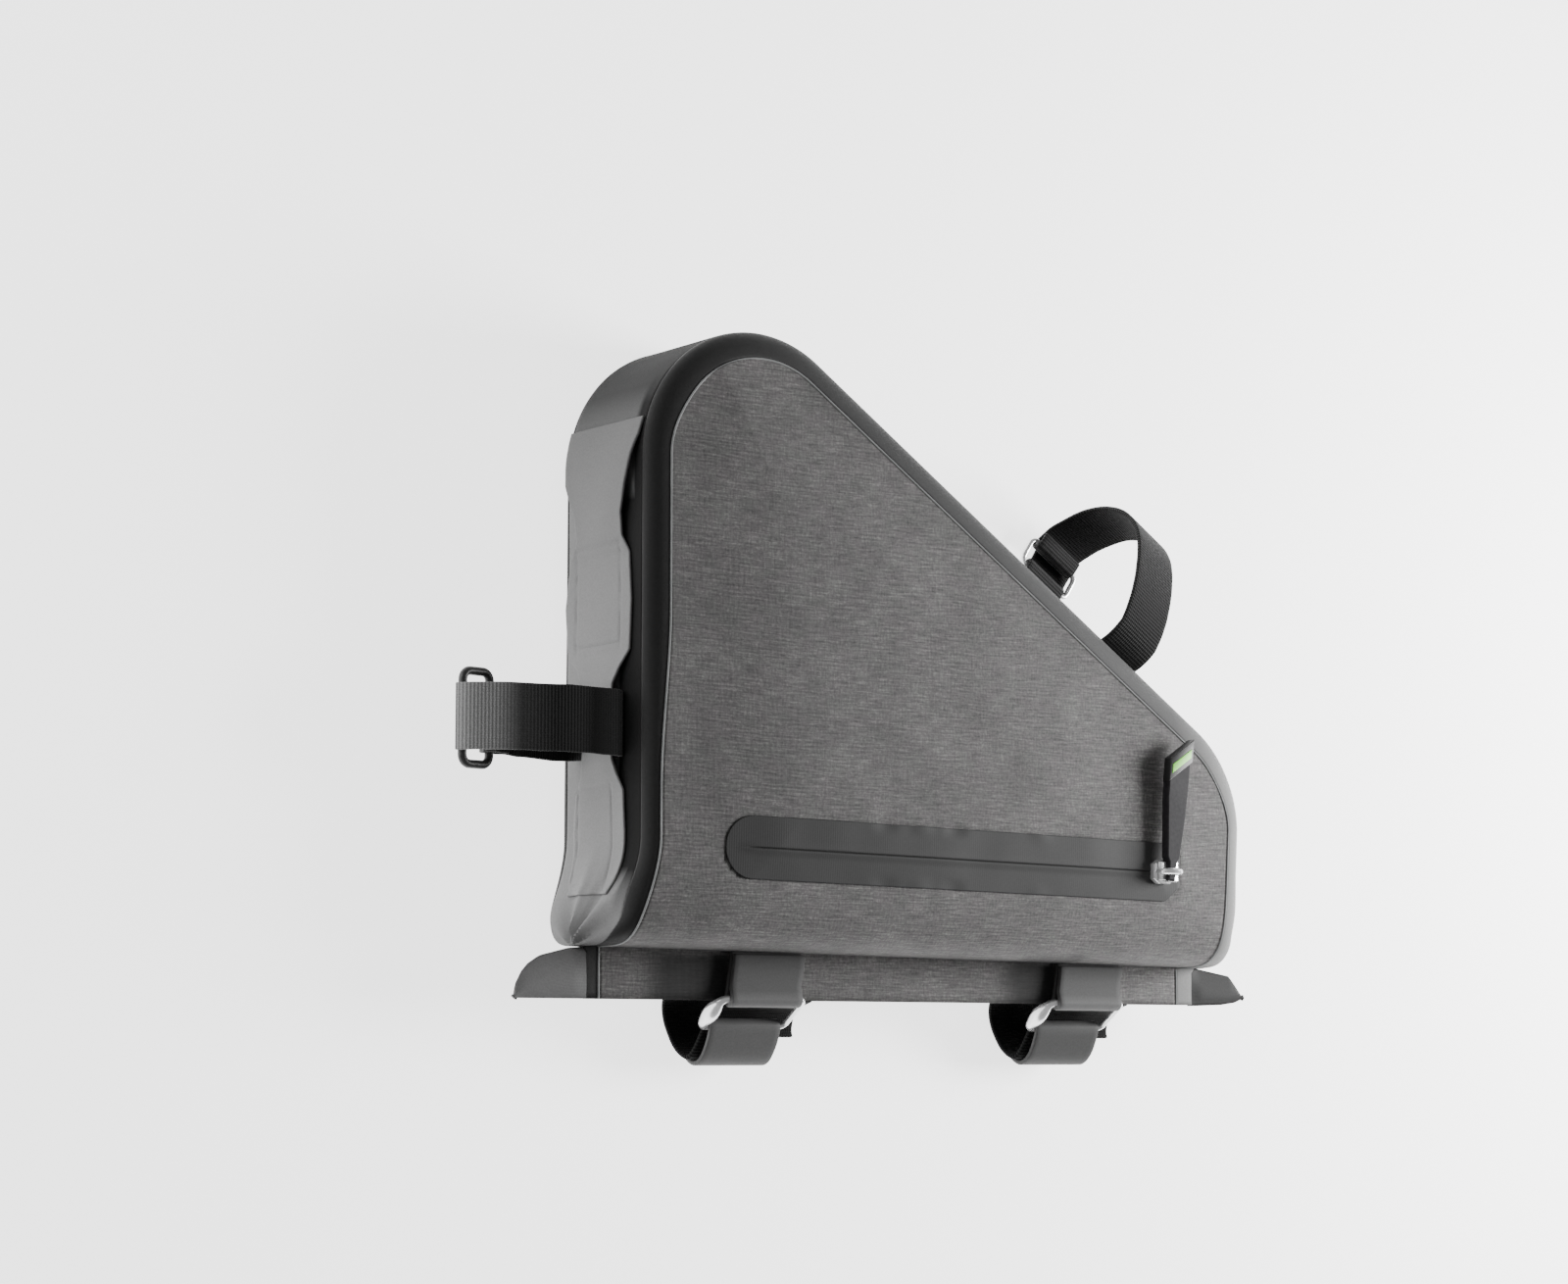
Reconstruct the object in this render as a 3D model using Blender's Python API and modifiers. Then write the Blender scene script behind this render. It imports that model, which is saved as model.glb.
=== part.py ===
"""Triangular bicycle frame bag, lying on its back panel. Metres, +Z up.

+X runs along the top-tube fin from the seat side to the head side, +Y points from the fin
to the rounded apex, and the front panel faces +Z. The origin is on the back panel's flat face,
halfway along the body and halfway between the fin's fold and the apex.
"""

import math

import bmesh
import bpy
from mathutils import Vector

# Body
BODY_LENGTH = 0.301
BODY_HEIGHT = 0.239
BODY_DEPTH = 0.063
APEX_RADIUS = 0.052
CORNER_RADIUS = 0.050
CORNER_RISE = 0.0552
CLOTH = 0.0015
BAND_WIDTH = 0.009
BAND_DROP = 0.006
PUFF = 0.0025
PUFF_REACH = 0.060
FOLD_DROP = 0.004
PINCH_LENGTH = 0.041
PINCH_POWER = 4.0
SEAT_FLARE = 0.008
HEAD_LEAN = 0.0035
EAR_BULGE = 0.006

# Fin along the top tube
FIN_HEIGHT = 0.0175
WING_LENGTH = 0.033
WING_RISE = 0.0155
WING_ROOT_RISE = 0.006

# Overlay strip on the seat side, heights as shares of its length from its lower end
OVERLAY_LENGTH = 0.180
OVERLAY_LOW = 0.0195
OVERLAY_WIDTH = 0.040
OVERLAY_BACK = 0.0255
OVERLAY_NARROWING = 0.008
OVERLAY_SHEET = 0.0012
SLOT_LIFT = 0.0032

# Zip
ZIP_LENGTH = 0.229
ZIP_WIDTH = 0.0240
ZIP_FROM_SEAT = 0.034
ZIP_FROM_FOLD = 0.0397
ZIP_TILT_DEG = -0.9
ZIP_BEVEL = 0.008
COIL_WIDTH = 0.0045
COIL_THICKNESS = 0.0014

# Slider and pull
SLIDER_LENGTH = 0.013
SLIDER_WIDTH = 0.0085
SLIDER_THICKNESS = 0.0026
SLIDER_FROM_END = 0.0042
BRIDGE_WIRE = 0.0011
BRIDGE_HEIGHT = 0.0062
PULL_LENGTH = 0.0560
PULL_LIFT = 0.004
PULL_NECK_WIDTH = 0.0038
PULL_ROOT_WIDTH = 0.0068
PULL_TIP_WIDTH = 0.0115
PULL_TIP_SLOPE_DEG = 40.0
PULL_THICKNESS = 0.0036
PULL_TURN_DEG = -8.0
STRIPE_WIDTH = 0.0032
STRIPE_DEPTH = 0.0010
STRIPE_FROM_TIP = 0.0035

# Straps
WEBBING = 0.0018
TOP_STRAP_WIDTH = 0.0335
TOP_STRAP_FROM_SEAT = 0.0710
TOP_STRAP_PITCH = 0.1645
TOP_STRAP_SKEW = 0.0178
TOP_TAB_SKEW = 0.0025
TOP_LOOP_DROP = 0.024
SEAT_STRAP_WIDTH = 0.025
SEAT_STRAP_REACH = 0.063
SEAT_STRAP_FROM_FOLD = 0.0855
SLANT_STRAP_WIDTH = 0.022
SLANT_STRAP_REACH = 0.062
SLANT_STRAP_FROM_CORNER = 0.057
SLANT_WELD_TOP = 0.048
SLANT_WELD_LENGTH = 0.015
SLANT_BACK_SKEW = 0.013
SLANT_FRONT_SKEW = 0.008
RING_WIRE = 0.0011
RING_SPAN = 0.0180
RING_LEAN_DEG = 235.0
SEAT_RING_WIRE = 0.0015
SEAT_RING_SPAN = 0.013
SEAT_RING_RISE = 0.0025
SLANT_RING_SPAN = 0.012
SLANT_RING_FROM_WALL = 0.033
SLANT_RING_HEIGHT = 0.0062
RING_SIDE_ROOM = 0.0018
LAP_LENGTH = 0.008

GAP = 0.0003

HALF_DEPTH = BODY_DEPTH / 2
FIN_HALF = CLOTH + GAP / 2
SEAT_X = -BODY_LENGTH / 2
HEAD_X = BODY_LENGTH / 2
FOLD_Y = -BODY_HEIGHT / 2
APEX_Y = BODY_HEIGHT / 2
FIN_EDGE_Y = FOLD_Y - FIN_HEIGHT
APEX_CENTRE = (SEAT_X + APEX_RADIUS, APEX_Y - APEX_RADIUS)
CORNER_CENTRE = (HEAD_X - CORNER_RADIUS, FOLD_Y + CORNER_RISE)
# The slant side touches both rounds, which settles the direction it faces
NORMAL_ANGLE = math.atan2(
    CORNER_CENTRE[1] - APEX_CENTRE[1], CORNER_CENTRE[0] - APEX_CENTRE[0]
) + math.acos((APEX_RADIUS - CORNER_RADIUS) / math.dist(APEX_CENTRE, CORNER_CENTRE))
SLANT_NORMAL = (math.cos(NORMAL_ANGLE), math.sin(NORMAL_ANGLE))
SLANT_RUN = (SLANT_NORMAL[1], -SLANT_NORMAL[0])
SLANT_OFFSET = APEX_CENTRE[0] * SLANT_NORMAL[0] + APEX_CENTRE[1] * SLANT_NORMAL[1] + APEX_RADIUS

PART_COLLECTION = "frame_bag"
CUTTER_COLLECTION = "cutters"


def clear_scene():
    for obj in list(bpy.data.objects):
        bpy.data.objects.remove(obj, do_unlink=True)


def collection(name, hidden=False):
    made = bpy.data.collections.new(name)
    bpy.context.scene.collection.children.link(made)
    made.hide_render = hidden
    return made


def material(name, colour, roughness, metallic=0.0):
    made = bpy.data.materials.new(name)
    made.use_nodes = True
    shader = made.node_tree.nodes["Principled BSDF"]
    shader.inputs["Base Color"].default_value = (*colour, 1.0)
    shader.inputs["Roughness"].default_value = roughness
    shader.inputs["Metallic"].default_value = metallic
    return made


def smoothstep(t):
    t = min(1.0, max(0.0, t))
    return t * t * (3 - 2 * t)


def blend(a, b, t):
    return a + (b - a) * t


def add_object(name, mesh, finish, smooth=True):
    """A new object in the part's collection, with its material and smooth shading."""
    obj = bpy.data.objects.new(name, mesh)
    bpy.data.collections[PART_COLLECTION].objects.link(obj)
    mesh.materials.append(finish)
    if smooth:
        mesh.shade_smooth()
        mesh.set_sharp_from_angle(angle=math.radians(40))
    return obj


def mesh_from(build):
    """A mesh made by calling build on a new bmesh."""
    bm = bmesh.new()
    build(bm)
    mesh = bpy.data.meshes.new("mesh")
    bm.to_mesh(mesh)
    bm.free()
    return mesh


def sheet_mesh(rows):
    """An open surface through rows of points. A row of one point closes it as a fan."""

    def build(bm):
        verts = [[bm.verts.new(point) for point in row] for row in rows]
        for low, high in zip(verts, verts[1:]):
            if len(high) == 1:
                for a, b in zip(low, low[1:]):
                    bm.faces.new((a, b, high[0]))
            else:
                for i in range(len(low) - 1):
                    bm.faces.new((low[i], low[i + 1], high[i + 1], high[i]))

    return mesh_from(build)


def flip(mesh):
    mesh.flip_normals()
    return mesh


def thicken(obj, thickness, offset=-1.0):
    shell = obj.modifiers.new("wall", "SOLIDIFY")
    shell.thickness = thickness
    shell.offset = offset
    shell.use_even_offset = True


def boolean(obj, operation, other):
    modifier = obj.modifiers.new(operation.lower(), "BOOLEAN")
    modifier.operation = operation
    modifier.solver = "EXACT"
    modifier.object = other


def helper(obj):
    """Moves an object to the cutters, out of the finished part."""
    bpy.data.collections[PART_COLLECTION].objects.unlink(obj)
    bpy.data.collections[CUTTER_COLLECTION].objects.link(obj)
    obj.hide_render = True
    obj.display_type = "WIRE"
    return obj


def plate_mesh(outline, low, high):
    """A closed plate over a flat outline of (x, y) points, counter-clockwise."""

    def build(bm):
        base = bm.faces.new([bm.verts.new((x, y, low)) for x, y in outline])
        grown = bmesh.ops.extrude_face_region(bm, geom=[base])
        top = [item for item in grown["geom"] if isinstance(item, bmesh.types.BMVert)]
        bmesh.ops.translate(bm, vec=(0, 0, high - low), verts=top)
        bmesh.ops.recalc_face_normals(bm, faces=bm.faces[:])

    return mesh_from(build)


# Body shape


def fold_y(x):
    """The fin's fold drops a little from the seat side to the head side."""
    return FOLD_Y - FOLD_DROP * (x - SEAT_X) / BODY_LENGTH + FOLD_DROP / 2


def pinch_start(x):
    return fold_y(x) + PINCH_LENGTH


def pinch_share(x, y):
    return min(1.0, max(0.0, (pinch_start(x) - y) / PINCH_LENGTH))


def half_depth(x, y):
    """Half of the body's depth, which closes to the fin with a full, boxy rounding."""
    closing = (1 - pinch_share(x, y) ** PINCH_POWER) ** (1 / PINCH_POWER)
    return FIN_HALF + (HALF_DEPTH - FIN_HALF) * closing


def left_x(y, inset):
    if y > APEX_CENTRE[1]:
        radius = APEX_RADIUS - inset
        rise = min(radius, y - APEX_CENTRE[1])
        return APEX_CENTRE[0] - math.sqrt(radius**2 - rise**2)
    return SEAT_X + inset - SEAT_FLARE * smoothstep(pinch_share(SEAT_X, y))


def right_x(y, inset):
    apex_radius = APEX_RADIUS - inset
    corner_radius = CORNER_RADIUS - inset
    if y > APEX_CENTRE[1] + apex_radius * SLANT_NORMAL[1]:
        rise = min(apex_radius, y - APEX_CENTRE[1])
        return APEX_CENTRE[0] + math.sqrt(apex_radius**2 - rise**2)
    if y > CORNER_CENTRE[1] + corner_radius * SLANT_NORMAL[1]:
        return (SLANT_OFFSET - inset - y * SLANT_NORMAL[1]) / SLANT_NORMAL[0]
    if y > CORNER_CENTRE[1]:
        return CORNER_CENTRE[0] + math.sqrt(corner_radius**2 - (y - CORNER_CENTRE[1]) ** 2)
    fall = (CORNER_CENTRE[1] - y) / (CORNER_CENTRE[1] - FOLD_Y)
    return HEAD_X - inset - HEAD_LEAN * min(1.0, fall)


def edge_distance(x, y):
    """Distance from the nearest of the body's three sides that have a band."""
    slant = SLANT_OFFSET - x * SLANT_NORMAL[0] - y * SLANT_NORMAL[1]
    return min(x - SEAT_X, HEAD_X - x, slant, y - FIN_EDGE_Y)


def panel_z(x, y):
    """Height of the front panel's outer face."""
    inward = (edge_distance(x, y) - BAND_WIDTH) / PUFF_REACH
    swell = PUFF * smoothstep(inward) * (1 - pinch_share(x, y))
    return HALF_DEPTH + half_depth(x, y) + swell


def back_z(x, y):
    return HALF_DEPTH - half_depth(x, y)


def panel_rows(height, columns, steps):
    """Rows of panel points from the fin's edge up to the apex."""
    inset = BAND_WIDTH + GAP
    fin_steps, pinch_steps, corner_steps, body_steps, apex_steps = steps
    low, high = left_x(FIN_EDGE_Y, inset), right_x(FIN_EDGE_Y, inset)
    across = [i / columns for i in range(columns + 1)]
    rows = []
    for k in range(fin_steps):
        xs = [blend(low, high, t) for t in across]
        rows.append([(x, blend(FIN_EDGE_Y, fold_y(x), k / fin_steps)) for x in xs])
    for k in range(pinch_steps):
        depth = PINCH_LENGTH * (1 - math.cos(math.pi / 2 * k / pinch_steps))
        row = []
        for t in across:
            y = fold_y(blend(low, high, t)) + depth
            x = blend(left_x(y, inset), right_x(y, inset), t)
            row.append((x, fold_y(x) + depth))
        rows.append(row)
    top, foot = APEX_CENTRE[1], pinch_start(HEAD_X)
    corner = CORNER_RADIUS - inset
    turns = [NORMAL_ANGLE * k / corner_steps for k in range(corner_steps + 1)]
    bends = [CORNER_CENTRE[1] + corner * math.sin(turn) for turn in turns]
    bends += [blend(bends[-1], top, k / body_steps) for k in range(1, body_steps)]
    for share in [0.0] + [(y - foot) / (top - foot) for y in bends]:
        row = []
        for t in across:
            y = blend(pinch_start(blend(low, high, t)), top, share)
            row.append((blend(left_x(y, inset), right_x(y, inset), t), y))
        rows.append(row)
    for k in range(apex_steps):
        y = top + (APEX_RADIUS - inset) * math.sin(math.pi / 2 * k / apex_steps)
        rows.append([(blend(left_x(y, inset), right_x(y, inset), t), y) for t in across])
    rows.append([(APEX_CENTRE[0], APEX_Y - inset)])
    return [[(x, y, height(x, y)) for x, y in row] for row in rows]


def front_panel(finish):
    panel = add_object("front_panel", sheet_mesh(panel_rows(panel_z, 16, (2, 9, 5, 6, 7))), finish)
    thicken(panel, CLOTH)
    slot = plate_mesh(zip_outline(GAP), BODY_DEPTH / 2, BODY_DEPTH + 4 * PUFF)
    cutter = helper(add_object("zip_slot_cutter", slot, finish, smooth=False))
    boolean(panel, "DIFFERENCE", cutter)
    return panel


def back_panel(finish):
    panel = sheet_mesh(panel_rows(back_z, 10, (1, 8, 5, 3, 6)))
    back = add_object("back_panel", flip(panel), finish)
    thicken(back, CLOTH)
    return back


# Gusset


def rim_stations():
    """Points round the body's rim with their outward directions, from seat foot to head foot."""
    stations = []
    pinch_steps, side_steps = 8, 3
    rises = [
        PINCH_LENGTH * (1 - math.cos(math.pi / 2 * (k + 0.75) / pinch_steps))
        for k in range(pinch_steps)
    ]
    seat_foot = fold_y(SEAT_X)
    for rise in rises:
        stations.append((left_x(seat_foot + rise, 0), seat_foot + rise, -1.0, 0.0))
    start = seat_foot + PINCH_LENGTH * 1.05
    for k in range(side_steps + 1):
        stations.append((SEAT_X, blend(start, APEX_CENTRE[1], k / (side_steps + 1)), -1.0, 0.0))
    for centre, radius, first, last, count in (
        (APEX_CENTRE, APEX_RADIUS, math.pi, NORMAL_ANGLE, 12),
        (CORNER_CENTRE, CORNER_RADIUS, NORMAL_ANGLE, 0.0, 7),
    ):
        for k in range(count + 1):
            angle = blend(first, last, k / count)
            nx, ny = math.cos(angle), math.sin(angle)
            stations.append((centre[0] + radius * nx, centre[1] + radius * ny, nx, ny))
    head_foot = fold_y(HEAD_X)
    for rise in reversed(rises):
        y = head_foot + rise
        stations.append((right_x(y, 0), y, 1.0, 0.0))
    return stations


def ear_bulge(y, share_of_half):
    """The side wall swells outwards where the body is pinched towards the fin."""
    return EAR_BULGE * smoothstep(pinch_share(0, y)) * math.cos(math.pi / 2 * share_of_half)


def gusset_section():
    """(inset, share of the half depth) from the back lip, round the wall, to the front lip."""
    lip, wall, straight = 5, 6, 1 - BAND_DROP / HALF_DEPTH
    front = []
    for k in range(lip + 1):
        angle = math.pi / 2 * k / lip
        front.append((1 - math.cos(angle), straight + (1 - straight) * math.sin(angle)))
    middle = [(0.0, blend(-straight, straight, k / wall)) for k in range(1, wall)]
    back = [(inset, -share) for inset, share in reversed(front)]
    return back + middle + front


def wing_outline(side, root_x):
    """The flattened gusset end beside the fin, as seen from the front; side is -1 or +1."""
    tip = root_x + side * (WING_LENGTH + BAND_WIDTH)
    body = root_x + side * BAND_WIDTH
    foot = fold_y(SEAT_X if side < 0 else HEAD_X)
    top = FIN_EDGE_Y + WING_RISE
    round_off = WING_RISE * 0.8
    points = [(root_x, FIN_EDGE_Y), (tip, FIN_EDGE_Y)]
    for k in range(6):
        angle = math.pi / 2 * k / 5
        x = tip - side * round_off * (1 - math.cos(angle))
        points.append((x, top - round_off * (1 - math.sin(angle))))
    points.append((body + side * EAR_BULGE * 1.2, top))
    points.append((body + side * EAR_BULGE * 0.9, foot + WING_ROOT_RISE))
    points.append((body, foot + WING_ROOT_RISE))
    points.append((body, foot))
    points.append((root_x, foot))
    return points if side > 0 else points[::-1]


def gusset(finish):
    rows = []
    for x, y, nx, ny in rim_stations():
        half = half_depth(x, y)
        row = []
        for inset, share in gusset_section():
            inward = inset * BAND_WIDTH
            if ny == 0:
                inward -= ear_bulge(y, share)
            row.append((x - nx * inward, y - ny * inward, HALF_DEPTH + share * half))
        rows.append(row)
    obj = add_object("gusset", sheet_mesh(rows), finish)
    thicken(obj, CLOTH)
    panel_inset = BAND_WIDTH + GAP
    roots = (
        (-1, left_x(FIN_EDGE_Y, panel_inset) - GAP),
        (1, right_x(FIN_EDGE_Y, panel_inset) + GAP),
    )
    for side, root_x in roots:
        plate = plate_mesh(
            wing_outline(side, root_x), HALF_DEPTH - FIN_HALF, HALF_DEPTH + FIN_HALF
        )
        wing = helper(add_object("wing_helper", plate, finish, smooth=False))
        boolean(obj, "UNION", wing)
    return obj


def seat_wall_x(y, z):
    """The seat side's outer face at a height y along it and a depth z."""
    share = (z - HALF_DEPTH) / half_depth(SEAT_X, y)
    return left_x(y, 0) - ear_bulge(y, min(1.0, max(-1.0, share)))


# Overlay strip on the seat side. height is a share of its length, lift a share of SLOT_LIFT, and
# narrow a share of OVERLAY_NARROWING taken off its front edge. Its back edge reaches OVERLAY_BACK
# from the middle of the depth and draws in to the same width at the strap's slot.
OVERLAY_SECTIONS = (
    # height, lift, narrow
    (0.000, 0.0, 0.75),
    (0.030, 0.0, 0.60),
    (0.130, 0.0, 0.50),
    (0.215, 0.0, 0.60),
    (0.250, 0.5, 0.90),
    (0.280, 1.0, 1.00),
    (0.360, 1.0, 1.10),
    (0.440, 1.0, 1.00),
    (0.475, 0.5, 0.70),
    (0.510, 0.0, 0.15),
    (0.615, 0.0, 0.00),
    (0.715, 0.0, 0.20),
    (0.750, 0.5, 0.60),
    (0.800, 0.8, 0.55),
    (0.860, 0.8, 0.15),
    (0.920, 0.6, -0.25),
    (0.965, 0.1, -0.50),
    (1.000, 0.0, -0.55),
)


def overlay(finish):
    low = fold_y(SEAT_X) + OVERLAY_LOW
    slot_half = OVERLAY_WIDTH / 2 - OVERLAY_NARROWING
    columns = 8
    rows = []
    for height, lift, narrow in OVERLAY_SECTIONS:
        y = low + height * OVERLAY_LENGTH
        front = OVERLAY_WIDTH / 2 - narrow * OVERLAY_NARROWING
        back = blend(OVERLAY_BACK, slot_half, max(0.0, narrow))
        row = []
        for k in range(columns + 1):
            z = HALF_DEPTH + blend(front, -back, k / columns)
            row.append((seat_wall_x(y, z) - 2 * GAP - lift * SLOT_LIFT, y, z))
        rows.append(row)
    obj = add_object("seat_overlay", flip(sheet_mesh(rows)), finish)
    thicken(obj, OVERLAY_SHEET, offset=1.0)
    return obj


# Zip


def zip_line(along, up):
    """A point given along the zip from its seat end and up from its centre line."""
    turn = math.radians(ZIP_TILT_DEG)
    x = SEAT_X + ZIP_FROM_SEAT + along * math.cos(turn) - up * math.sin(turn)
    y = FOLD_Y + ZIP_FROM_FOLD + along * math.sin(turn) + up * math.cos(turn)
    return x, y


def zip_half_width(along, side, grow=0.0):
    """The tape's half width there: a round seat end, and a bevelled lower corner at the other."""
    radius = ZIP_WIDTH / 2 + grow
    if along < radius:
        return math.sqrt(max(0.0, radius**2 - (radius - along) ** 2))
    bevel = along - (ZIP_LENGTH + 2 * grow - ZIP_BEVEL)
    if side < 0 and bevel > 0:
        return radius - 0.8 * bevel
    return radius


def zip_stations(grow=0.0):
    radius = ZIP_WIDTH / 2 + grow
    round_end = [radius * (1 - math.cos(math.pi / 2 * k / 6)) for k in range(6)]
    end = ZIP_LENGTH + 2 * grow
    straight = [blend(radius, end - ZIP_BEVEL, k / 10) for k in range(11)]
    return round_end + straight + [end - ZIP_BEVEL / 2, end]


def zip_outline(grow):
    lower = [(a, -zip_half_width(a, -1, grow)) for a in zip_stations(grow)]
    upper = [(a, zip_half_width(a, 1, grow)) for a in zip_stations(grow)[1:]]
    return [zip_line(along - grow, up) for along, up in lower + upper[::-1]]


def zip_tape(name, side, finish):
    rows = []
    stations = zip_stations()
    stations[0] = ZIP_WIDTH * 0.004
    for along in stations:
        outer = zip_half_width(along, side)
        row = []
        for k in range(4):
            x, y = zip_line(along, side * blend(GAP / 2, outer, k / 3))
            row.append((x, y, panel_z(x, y)))
        rows.append(row)
    mesh = sheet_mesh(rows)
    obj = add_object(name, flip(mesh) if side > 0 else mesh, finish)
    thicken(obj, CLOTH * 0.8)
    return obj


def zip_coil(finish):
    """The closed coil behind the two tapes, as one bar."""
    rows = []
    below = CLOTH * 0.8 + GAP
    for k in range(13):
        along = blend(ZIP_WIDTH / 2, ZIP_LENGTH - SLIDER_LENGTH - SLIDER_FROM_END, k / 12)
        row = []
        for side in (-1, 1):
            x, y = zip_line(along, side * COIL_WIDTH / 2)
            row.append((x, y, panel_z(x, y) - below))
        rows.append(row)
    obj = add_object("zip_coil", flip(sheet_mesh(rows)), finish)
    thicken(obj, COIL_THICKNESS)
    return obj


def slider_seat():
    """The point of the zip's centre line that the slider's middle stands on."""
    x, y = zip_line(ZIP_LENGTH - SLIDER_FROM_END - SLIDER_LENGTH / 2, 0)
    return Vector((x, y, panel_z(x, y)))


def slider(chrome):
    """The slider's body with the bridge that its pull hangs on."""
    seat = slider_seat()
    floor = seat.z + 2 * GAP

    def body(bm):
        bmesh.ops.create_cube(bm, size=1)
        bmesh.ops.scale(bm, vec=(SLIDER_LENGTH, SLIDER_WIDTH, SLIDER_THICKNESS), verts=bm.verts)
        bmesh.ops.translate(bm, vec=(0, 0, SLIDER_THICKNESS / 2), verts=bm.verts)
        upright = [edge for edge in bm.edges if abs(edge.verts[0].co.z - edge.verts[1].co.z) > 1e-5]
        bmesh.ops.bevel(bm, geom=upright, offset=SLIDER_WIDTH * 0.3, segments=3, affect="EDGES")

    obj = add_object("zip_slider", mesh_from(body), chrome)
    obj.location = (seat.x, seat.y, floor)
    obj.rotation_euler.z = math.radians(ZIP_TILT_DEG)
    half = SLIDER_LENGTH * 0.33
    root = -SLIDER_THICKNESS / 2
    points = [(-half, root)]
    for k in range(9):
        angle = math.pi * (1 - k / 8)
        points.append((half * math.cos(angle), BRIDGE_HEIGHT * (0.35 + 0.65 * math.sin(angle))))
    points.append((half, root))
    lift = SLIDER_THICKNESS
    bridge = tube_mesh([(x, 0, z + lift) for x, z in points], BRIDGE_WIRE, 2)
    loop = helper(add_object("bridge_helper", bridge, chrome, smooth=False))
    loop.location = obj.location
    loop.rotation_euler = obj.rotation_euler
    boolean(obj, "UNION", loop)
    return obj


def pull_outline():
    """The pull from its root at the slider to its slanted tip, along +Y."""
    drop = PULL_TIP_WIDTH * math.tan(math.radians(PULL_TIP_SLOPE_DEG))
    neck, root, tip = PULL_NECK_WIDTH / 2, PULL_ROOT_WIDTH / 2, PULL_TIP_WIDTH / 2
    return [
        (-neck, -2 * neck),
        (neck, -2 * neck),
        (neck, 2 * neck),
        (root, 3 * neck),
        (tip, PULL_LENGTH * 0.62),
        (tip, PULL_LENGTH),
        (-tip, PULL_LENGTH - drop),
        (-tip, PULL_LENGTH * 0.55),
        (-root, 3 * neck),
        (-neck, 2 * neck),
    ]


def stripe_outline(grow):
    slope = math.tan(math.radians(PULL_TIP_SLOPE_DEG))
    half = PULL_TIP_WIDTH / 2 - 2 * GAP + 4 * grow
    high = PULL_LENGTH - STRIPE_FROM_TIP + grow
    low = high - STRIPE_WIDTH - 2 * grow
    middle = PULL_TIP_WIDTH / 2
    return [
        (-half, low - slope * (middle + half)),
        (half, low - slope * (middle - half)),
        (half, high - slope * (middle - half)),
        (-half, high - slope * (middle + half)),
    ]


def pull(rubber, green):
    """The pull lies on the panel, turned a little, with its coloured inlay in a groove."""
    seat = slider_seat()
    turn = math.radians(PULL_TURN_DEG)
    tip_x = seat.x - math.sin(turn) * PULL_LENGTH
    tip_y = seat.y + math.cos(turn) * PULL_LENGTH
    slider_top = seat.z + SLIDER_THICKNESS + 3 * GAP
    tip_floor = panel_z(tip_x, tip_y) + PULL_LIFT
    tilt = math.atan2(tip_floor - slider_top, PULL_LENGTH)
    root_floor = slider_top + abs(math.sin(tilt)) * SLIDER_WIDTH / 2
    body = add_object("zip_pull", plate_mesh(pull_outline(), 0, PULL_THICKNESS), rubber)
    top = PULL_THICKNESS
    groove = plate_mesh(stripe_outline(GAP), top - STRIPE_DEPTH - GAP, top * 2)
    cutter = helper(add_object("groove_cutter", groove, green, smooth=False))
    stripe = add_object("pull_stripe", plate_mesh(stripe_outline(0), top - STRIPE_DEPTH, top), green)
    boolean(body, "DIFFERENCE", cutter)
    for obj in (body, cutter, stripe):
        obj.location = (seat.x, seat.y, root_floor)
        obj.rotation_euler = (tilt, 0, turn)
    return body, stripe


# Straps and rings


def arc(centre, radius, first, last, count):
    """Points on an arc in a strap's own plane, angles in degrees."""
    return [
        (
            centre[0] + radius * math.cos(math.radians(blend(first, last, k / count))),
            centre[1] + radius * math.sin(math.radians(blend(first, last, k / count))),
        )
        for k in range(count + 1)
    ]


def smooth_path(points, pieces):
    """A Catmull-Rom curve through flat points, with this many pieces a span."""
    ends = [points[0], *points, points[-1]]
    made = []
    for a, b, c, d in zip(ends, ends[1:], ends[2:], ends[3:]):
        for k in range(pieces):
            t = k / pieces
            made.append(
                tuple(
                    0.5
                    * (
                        2 * q
                        + (r - p) * t
                        + (2 * p - 5 * q + 4 * r - s) * t**2
                        + (3 * q - p - 3 * r + s) * t**3
                    )
                    for p, q, r, s in zip(a, b, c, d)
                )
            )
    made.append(points[-1])
    return made


def beside(points, distances):
    """The same flat path with each point moved to its left by its own distance."""
    moved = []
    for i, ((x, y), distance) in enumerate(zip(points, distances)):
        before, after = points[max(0, i - 1)], points[min(len(points) - 1, i + 1)]
        dx, dy = after[0] - before[0], after[1] - before[1]
        length = math.hypot(dx, dy)
        moved.append((x - dy / length * distance, y + dx / length * distance))
    return moved


def doubled(path, from_index, first, last):
    """A second layer that follows the end of a path back, first and last being its distances."""
    tail = path[from_index:]
    count = len(tail) - 1
    distances = [blend(last, first, smoothstep(2 * k / count - 1)) for k in range(count + 1)]
    return beside(tail, distances)[::-1]


def strap(name, path, place, width, finish, shifts=(0.0, 0.0), moving=None):
    """A strap whose middle follows a flat path. place(a, b, side) puts a path point in space.
    It goes sideways from the first shift to the second between the two path points in moving."""
    first, last = moving or (0, len(path) - 1)
    lengths = [0.0]
    for a, b in zip(path, path[1:]):
        lengths.append(lengths[-1] + math.dist(a, b))
    run = lengths[last] - lengths[first]
    rows = []
    for (a, b), length in zip(path, lengths):
        share = min(1.0, max(0.0, (length - lengths[first]) / run))
        shift = blend(*shifts, share)
        rows.append([place(a, b, shift + side * width / 2) for side in (-1, 1)])
    obj = add_object(name, sheet_mesh(rows), finish)
    thicken(obj, WEBBING, offset=0.0)
    return obj


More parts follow.
